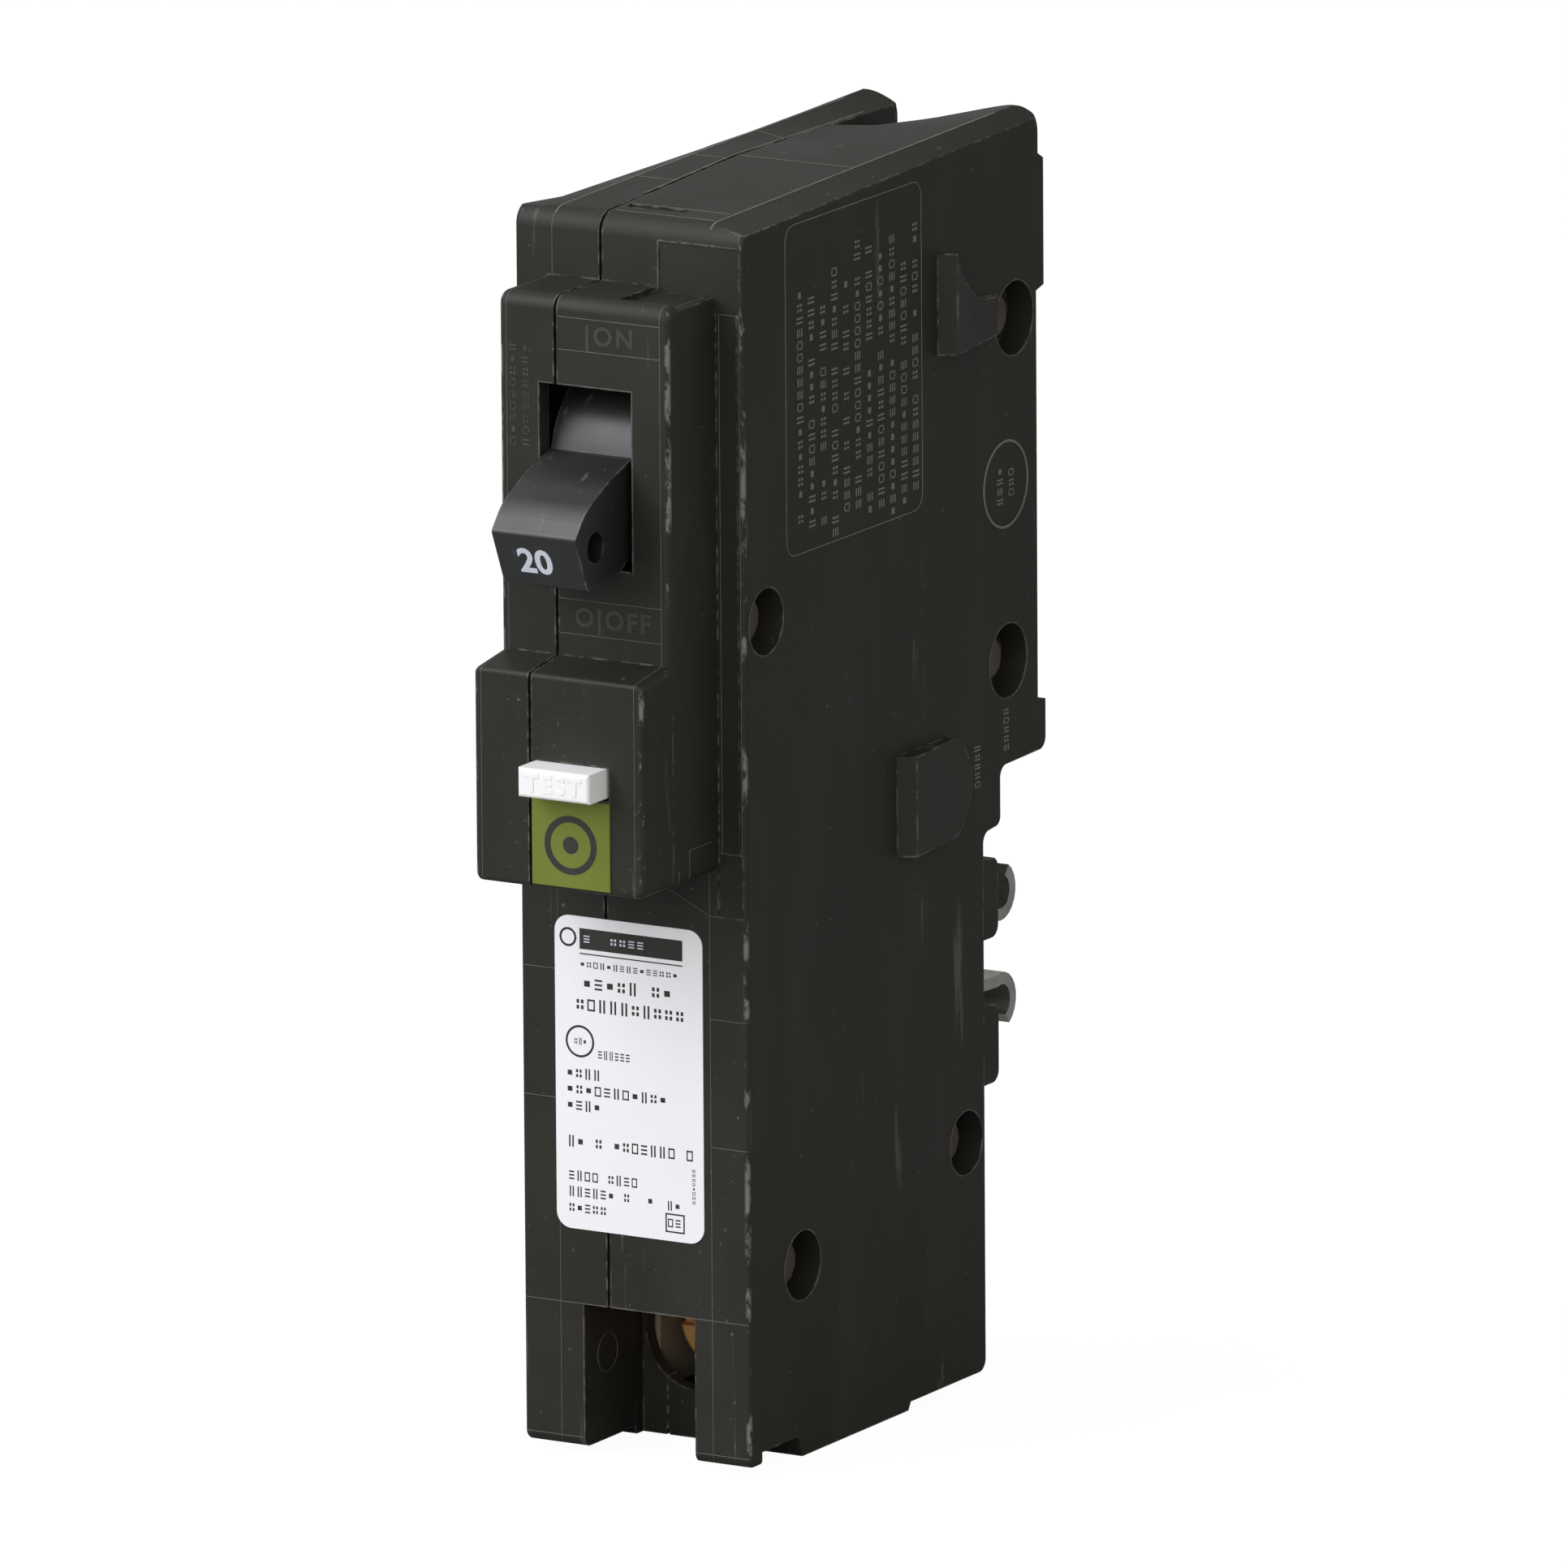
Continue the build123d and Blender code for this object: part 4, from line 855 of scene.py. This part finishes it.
def makeFrontMarks():
    look = frontMarks
    upper = pole["upperNoseFront"]
    meshes = [
        placed(
            textMesh("|ON", look["tall"], look["depth"], 0.06, 1.25),
            facing((look["on"][0], upper, look["on"][1]), (1, 0, 0), (0, 0, 1))
        ),
        placed(
            textMesh("O|OFF", look["tall"], look["depth"], 0.06, 1.2),
            facing((look["off"][0], upper, look["off"][1]), (1, 0, 0), (0, 0, 1))
        ),
    ]
    for number, x in enumerate(look["serialX"]):
        low, high = look["serialZ"]
        mesh = glyphRow(
            int((high - low) / 1.15), 1.15, 0.95, look["depth"], 0.1, 60 + number, finishes["print"]
        )
        meshes.append(placed(mesh, facing((x, upper, low), (0, 0, 1), (-1, 0, 0))))
    addPiece("front_marks", meshes, "case", finishes["print"])


lever = dict(
    digits="20", x=12.2, topY=-18.3, topZ=94.6, lowY=-15.9, lowZ=89.1, down=0.53, tall=2.75, depth=0.05,
    bold=0.11
)


def makeLeverDigits():
    look = lever
    down = Vector((0, look["lowY"] - look["topY"], look["lowZ"] - look["topZ"]))
    centre = (look["x"], look["topY"] + down.y * look["down"], look["topZ"] + down.z * look["down"])
    mesh = placed(
        textMesh(look["digits"], look["tall"], look["depth"], look["bold"]),
        facing(centre, (1, 0, 0), -down)
    )
    addPiece("lever_digits", [mesh], "handle", finishes["white_ink"])


button = dict(words="TEST", centre=(14.15, -17.45, 70.05), tall=1.75, depth=0.12)


def makeButtonWord():
    look = button
    mesh = placed(
        textMesh(look["words"], look["tall"], look["depth"], 0.09, 1.28),
        facing(look["centre"], (1, 0, 0), (0, 0, 1))
    )
    addPiece("button_word", [mesh], "test_button", finishes["white_plastic"])


patch = dict(centre=(14.15, -14.2, 63.6), outer=2.9, inner=2.25, dot=0.85, depth=0.03)


def makePatchSign():
    look = patch
    sign = facing(look["centre"], (1, 0, 0), (0, 0, 1))
    meshes = [placed(ringMesh(look["outer"], look["inner"], look["depth"]), sign)]
    meshes.append(placed(ringMesh(look["dot"], 0.01, look["depth"]), sign))
    addPiece("patch_sign", meshes, "case", finishes["ink"])


# rows: (from the left, from the top, marks, pitch, letter height, gaps) in mm on the label
label = dict(
    left=3.9, top=52.9, face=-0.12, depth=0.03,
    rows=[
        (3.1, 4.7, 15, 0.74, 0.75, 0.1), (3.6, 6.6, 8, 1.28, 1.45, 0.12), (2.8, 8.7, 10, 1.24, 1.45, 0.0),
        (5.0, 13.5, 6, 0.62, 1.0, 0.0), (1.6, 15.6, 4, 1.0, 1.2, 0.0), (1.6, 17.2, 11, 1.04, 1.2, 0.0),
        (1.6, 18.8, 4, 1.0, 1.2, 0.0), (1.7, 22.4, 14, 1.02, 1.3, 0.12), (1.7, 25.8, 9, 0.88, 1.15, 0.12),
        (1.7, 27.4, 11, 0.88, 1.15, 0.14), (1.7, 29.0, 5, 0.88, 1.15, 0.0),
        (12.7, 27.6, 2, 0.85, 1.05, 0.0),
        (12.75, 29.3, 2, 0.85, 1.05, 0.0),
    ],
    bars=[
        (2.8, 1.15, 14.3, 3.2), (2.8, 3.6, 14.3, 3.72), (12.2, 28.35, 14.35, 28.5),
        (12.2, 30.1, 14.35, 30.25), (12.2, 28.35, 12.35, 30.25), (14.2, 28.35, 14.35, 30.25)
    ],
    rings=[(1.5, 2.15, 0.95, 0.72), (2.75, 12.4, 1.6, 1.38)],
)


def makeLabelPrint():
    look = label

    def spot(across, down):
        return facing((look["left"] + across, look["face"], look["top"] - down), (1, 0, 0), (0, 0, 1))

    dark, pale = [], []
    for number, (across, down, count, pitch, tall, gaps) in enumerate(look["rows"]):
        dark.append(
            placed(
                glyphRow(count, pitch, tall, look["depth"], gaps, 80 + number, finishes["ink"]),
                spot(across, down)
            )
        )
    for left, top, right, low in look["bars"]:
        dark.append(
            placed(boxMesh((0, top - low, -0.02), (right - left, 0, look["depth"] / 2)), spot(left, top))
        )
    for across, down, outer, inner in look["rings"]:
        dark.append(placed(ringMesh(outer, inner, look["depth"] / 2), spot(across, down)))
    dark.append(placed(glyphRow(3, 0.5, 0.8, look["depth"], 0.0, 97, finishes["ink"]), spot(2.3, 12.4)))
    side = facing((look["left"] + 15.4, look["face"], look["top"] - 27.0), (0, 0, 1), (-1, 0, 0))
    dark.append(placed(glyphRow(8, 0.45, 0.42, look["depth"], 0.0, 98, finishes["ink"]), side))
    pale.append(placed(glyphRow(7, 1.0, 0.95, 0.06, 0.12, 99, finishes["white_ink"]), spot(3.6, 2.17)))
    addPiece("label_print", dark, "case", finishes["ink"])
    addPiece("label_print_pale", pale, "case", finishes["white_ink"])


makeMouldLines()
makeSidePrint()
makeFrontMarks()
makeLeverDigits()
makeButtonWord()
makePatchSign()
makeLabelPrint()
print("lines and print done")

# springs and windings
# axis that each spring lies along, its turns, wire radius in mm, the joint that squeezes it, the end
# that stays put (0 low, 1 high) and the share of its length that is kept at the joint's limit
springs = [
    dict(
        node="test_button_spring", axis=1, turns=5.0, wire=0.26, joint="test_button_press", hold=1,
        keep=0.70
    ),
    dict(node="plunger_spring", axis=1, turns=4.5, wire=0.22, joint="plunger_slide", hold=0, keep=0.55),
    dict(node="armature_spring", axis=1, turns=5.5, wire=0.16, joint="armature_tilt", hold=0, keep=0.68),
    dict(node="toggle_spring", axis=2, turns=13.0, wire=0.16, joint=None, hold=0, keep=1.0),
]


def helixIn(low, high, axis, turns, wire, material, stepsPerTurn=22):
    size = high - low
    centre = (low + high) / 2
    across = [size[i] for i in range(3) if i != axis]
    mesh = runTree(coilTree, Turns=turns, Radius=min(across) / 2 - wire, Length=size[axis] - 2 * wire,
                   Wire=wire, Steps=stepsPerTurn, Material=material)
    start = centre.copy()
    start[axis] = low[axis] + wire
    turn = Matrix.Rotation(-math.pi / 2, 4, "X") if axis == 1 else Matrix.Identity(4)
    return placed(mesh, Matrix.Translation(start) @ turn)


def makeSprings():
    for look in springs:
        low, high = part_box(look["node"])
        mesh = helixIn(low, high, look["axis"], look["turns"], look["wire"] * mm, finishes["spring_steel"])
        piece = addPiece(
            look["node"] + "_coil", [mesh], bodyOf[look["node"]],
            finishes["spring_steel"], [look["node"]]
        )
        if look["joint"]:
            anchor = (low + high) / 2
            anchor.y = (high if look["hold"] else low).y
            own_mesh(piece)


winding = dict(wire=0.12, ringTurns=56, ringWire=0.11)


def makeWindings():
    look = winding
    low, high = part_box("solenoid_coil")
    turns = (high.y - low.y) / (2 * look["wire"] * mm) - 1
    mesh = helixIn(low, high, 1, turns, look["wire"] * mm, finishes["enamel_wire"], 20)
    addPiece("solenoid_turns", [mesh], bodyOf["solenoid_coil"], finishes["enamel_wire"])
    low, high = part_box("sensor_winding")
    outer = (high.x - low.x) / 2
    inner = 2.8 * mm
    middle = (outer + inner) / 2
    mesh = runTree(
        ringTree, Count=look["ringTurns"], Radius=middle,
        Width=outer - inner - 2 * look["ringWire"] * mm, Height=high.z - low.z - 2 * look["ringWire"] * mm,
        Wire=look["ringWire"] * mm, Material=finishes["enamel_wire"]
    )
    addPiece(
        "sensor_turns", [placed(mesh, Matrix.Translation((low + high) / 2))], bodyOf["sensor_winding"],
        finishes["enamel_wire"]
    )


def pointsMesh(points):
    mesh = bpy.data.meshes.new("points")
    mesh.from_pydata([tuple(at(*point)) for point in points], [], [])
    return mesh


boardLook = dict(face=4.0, back=2.9, pinPitch=1.27, pin=(0.5, 0.5, 0.3), joint=(0.35, 0.8, 0.8))


def makeBoardDetails():
    look = boardLook
    pins, joints = [], []
    for low, high, z in ((14, 21, (50, 57)), (12, 16, (62, 67)), (20, 24, (62, 67))):
        count = int((z[1] - z[0] - 0.6) / look["pinPitch"]) + 1
        for index in range(count):
            level = z[0] + 0.6 + index * look["pinPitch"]
            pins += [(look["face"] + 0.25, low - 0.35, level), (look["face"] + 0.25, high + 0.35, level)]
    joints += [
        (look["back"] - 0.1, 29.0 + 3.6 * column, 58.0 + 2.5 * row)
        for column in range(3) for row in range(2)
    ]
    joints += [
        (look["back"] - 0.1, 7.0 + 2.6 * index, level) for index in range(5) for level in (36.0, 41.5)
    ]
    joints += [(look["back"] - 0.1, 19.2 + 1.7 * index, 28.5) for index in range(5)]
    joints += [(look["back"] - 0.1, y, 36.5) for y in (24.5, 32.5)]
    pinMesh = runTree(
        studTree, pointsMesh(pins), Size=[value * mm for value in look["pin"]], Material=finishes["tin"]
    )
    jointMesh = runTree(
        studTree, pointsMesh(joints), Size=[value * mm for value in look["joint"]],
        Material=finishes["tin"]
    )
    addPiece("board_pins", [pinMesh, jointMesh], bodyOf["circuit_board"], finishes["tin"])


makeSprings()
makeWindings()
makeBoardDetails()
print("springs, windings and board details done")

# floor, light and camera
studio = dict(floorSize=6.0, floorGrey=0.30, floorShadow=0.08, floorWhite=0.96, world=0.38,
              lens=634.3, distance=2.6817, cameraAz=30.25, cameraEl=12.854, roll=-0.379,
              target=(14.973, 25.070, 61.850),
              keyPower=6.4, frontPower=3.4, topPower=3.2, rightPower=1.7)


def makeFloor():
    mesh = bmesh.new()
    half = studio["floorSize"] / 2
    low = cadBox[0].z
    centre = (cadBox[0] + cadBox[1]) / 2
    corners = [
        mesh.verts.new((centre.x + x * half, centre.y + y * half, low))
        for x, y in ((-1, -1), (1, -1), (1, 1), (-1, 1))
    ]
    mesh.faces.new(corners)
    data = bpy.data.meshes.new("floor")
    mesh.to_mesh(data)
    floor = bpy.data.objects.new("floor", data)
    bpy.context.collection.objects.link(floor)
    material, tree, shader = newMaterial("floor_white")
    shader.inputs["Base Color"].default_value = (studio["floorGrey"],) * 3 + (1,)
    shader.inputs["Roughness"].default_value = 0.9
    shader.inputs["Specular IOR Level"].default_value = 0
    pale = addNode(tree, "ShaderNodeBsdfDiffuse", {"Color": (studio["floorShadow"],) * 3 + (1,)})
    white = addNode(tree, "ShaderNodeEmission", {"Color": (1, 1, 1, 1), "Strength": studio["floorWhite"]})
    seen = addNode(tree, "ShaderNodeAddShader", {0: pale.outputs[0], 1: white.outputs[0]})
    ray = addNode(tree, "ShaderNodeLightPath")
    mixed = addNode(
        tree, "ShaderNodeMixShader",
        {0: ray.outputs["Is Camera Ray"], 1: shader.outputs[0], 2: seen.outputs[0]}
    )
    output = next(node for node in tree.nodes if node.type == "OUTPUT_MATERIAL")
    tree.links.new(mixed.outputs[0], output.inputs["Surface"])
    data.materials.append(material)


def areaLight(name, place, aim, size, power, colour=(1, 1, 1)):
    data = bpy.data.lights.new(name, "AREA")
    data.shape, data.size, data.size_y = "RECTANGLE", size[0], size[1]
    data.energy, data.color = power, colour
    light = bpy.data.objects.new(name, data)
    light.location = place
    light.rotation_euler = (Vector(aim) - Vector(place)).to_track_quat("-Z", "Y").to_euler()
    bpy.context.collection.objects.link(light)


def makeLights():
    middle = (cadBox[0] + cadBox[1]) / 2
    areaLight(
        "key_left", middle + Vector((-0.55, -0.75, 0.55)), middle, (0.7, 0.9), studio["keyPower"],
        (0.96, 0.98, 1.0)
    )
    areaLight(
        "top_soft", middle + Vector((-0.45, -0.32, 0.80)), middle, (0.75, 0.75), studio["topPower"],
        (0.92, 0.95, 1.0)
    )
    areaLight(
        "front_soft", middle + Vector((0.30, -1.0, 0.25)), middle, (0.7, 0.9), studio["frontPower"],
        (1.0, 0.99, 0.95)
    )
    areaLight(
        "right_fill", middle + Vector((0.95, -0.25, 0.50)), middle, (0.6, 0.9), studio["rightPower"],
        (1.0, 0.98, 0.88)
    )
    world = bpy.data.worlds.new("studio")
    world.use_nodes = True
    sky = next(node for node in world.node_tree.nodes if node.type == "BACKGROUND")
    sky.inputs[0].default_value = (1, 1, 1, 1)
    ray = addNode(world.node_tree, "ShaderNodeLightPath")
    strength = addNode(
        world.node_tree, "ShaderNodeMapRange",
        {"Value": ray.outputs["Is Camera Ray"], "To Min": studio["world"], "To Max": 1.0}
    )
    world.node_tree.links.new(strength.outputs[0], sky.inputs[1])
    bpy.context.scene.world = world


def makeCamera():
    data = bpy.data.cameras.new("camera")
    data.lens, data.sensor_width = studio["lens"], 36
    data.clip_start, data.clip_end = 0.1, 20
    camera = bpy.data.objects.new("camera", data)
    az, el = math.radians(studio["cameraAz"]), math.radians(studio["cameraEl"])
    back = Vector((math.sin(az) * math.cos(el), -math.cos(az) * math.cos(el), math.sin(el)))
    target = at(*studio["target"])
    camera.location = target + back * studio["distance"]
    turn = (-back).to_track_quat("-Z", "Y").to_matrix() @ Matrix.Rotation(
        math.radians(studio["roll"]), 3, "Z"
    )
    camera.rotation_euler = turn.to_euler()
    bpy.context.collection.objects.link(camera)
    bpy.context.scene.camera = camera


makeFloor()
makeLights()
makeCamera()
bpy.context.scene.view_settings.view_transform = "Standard"
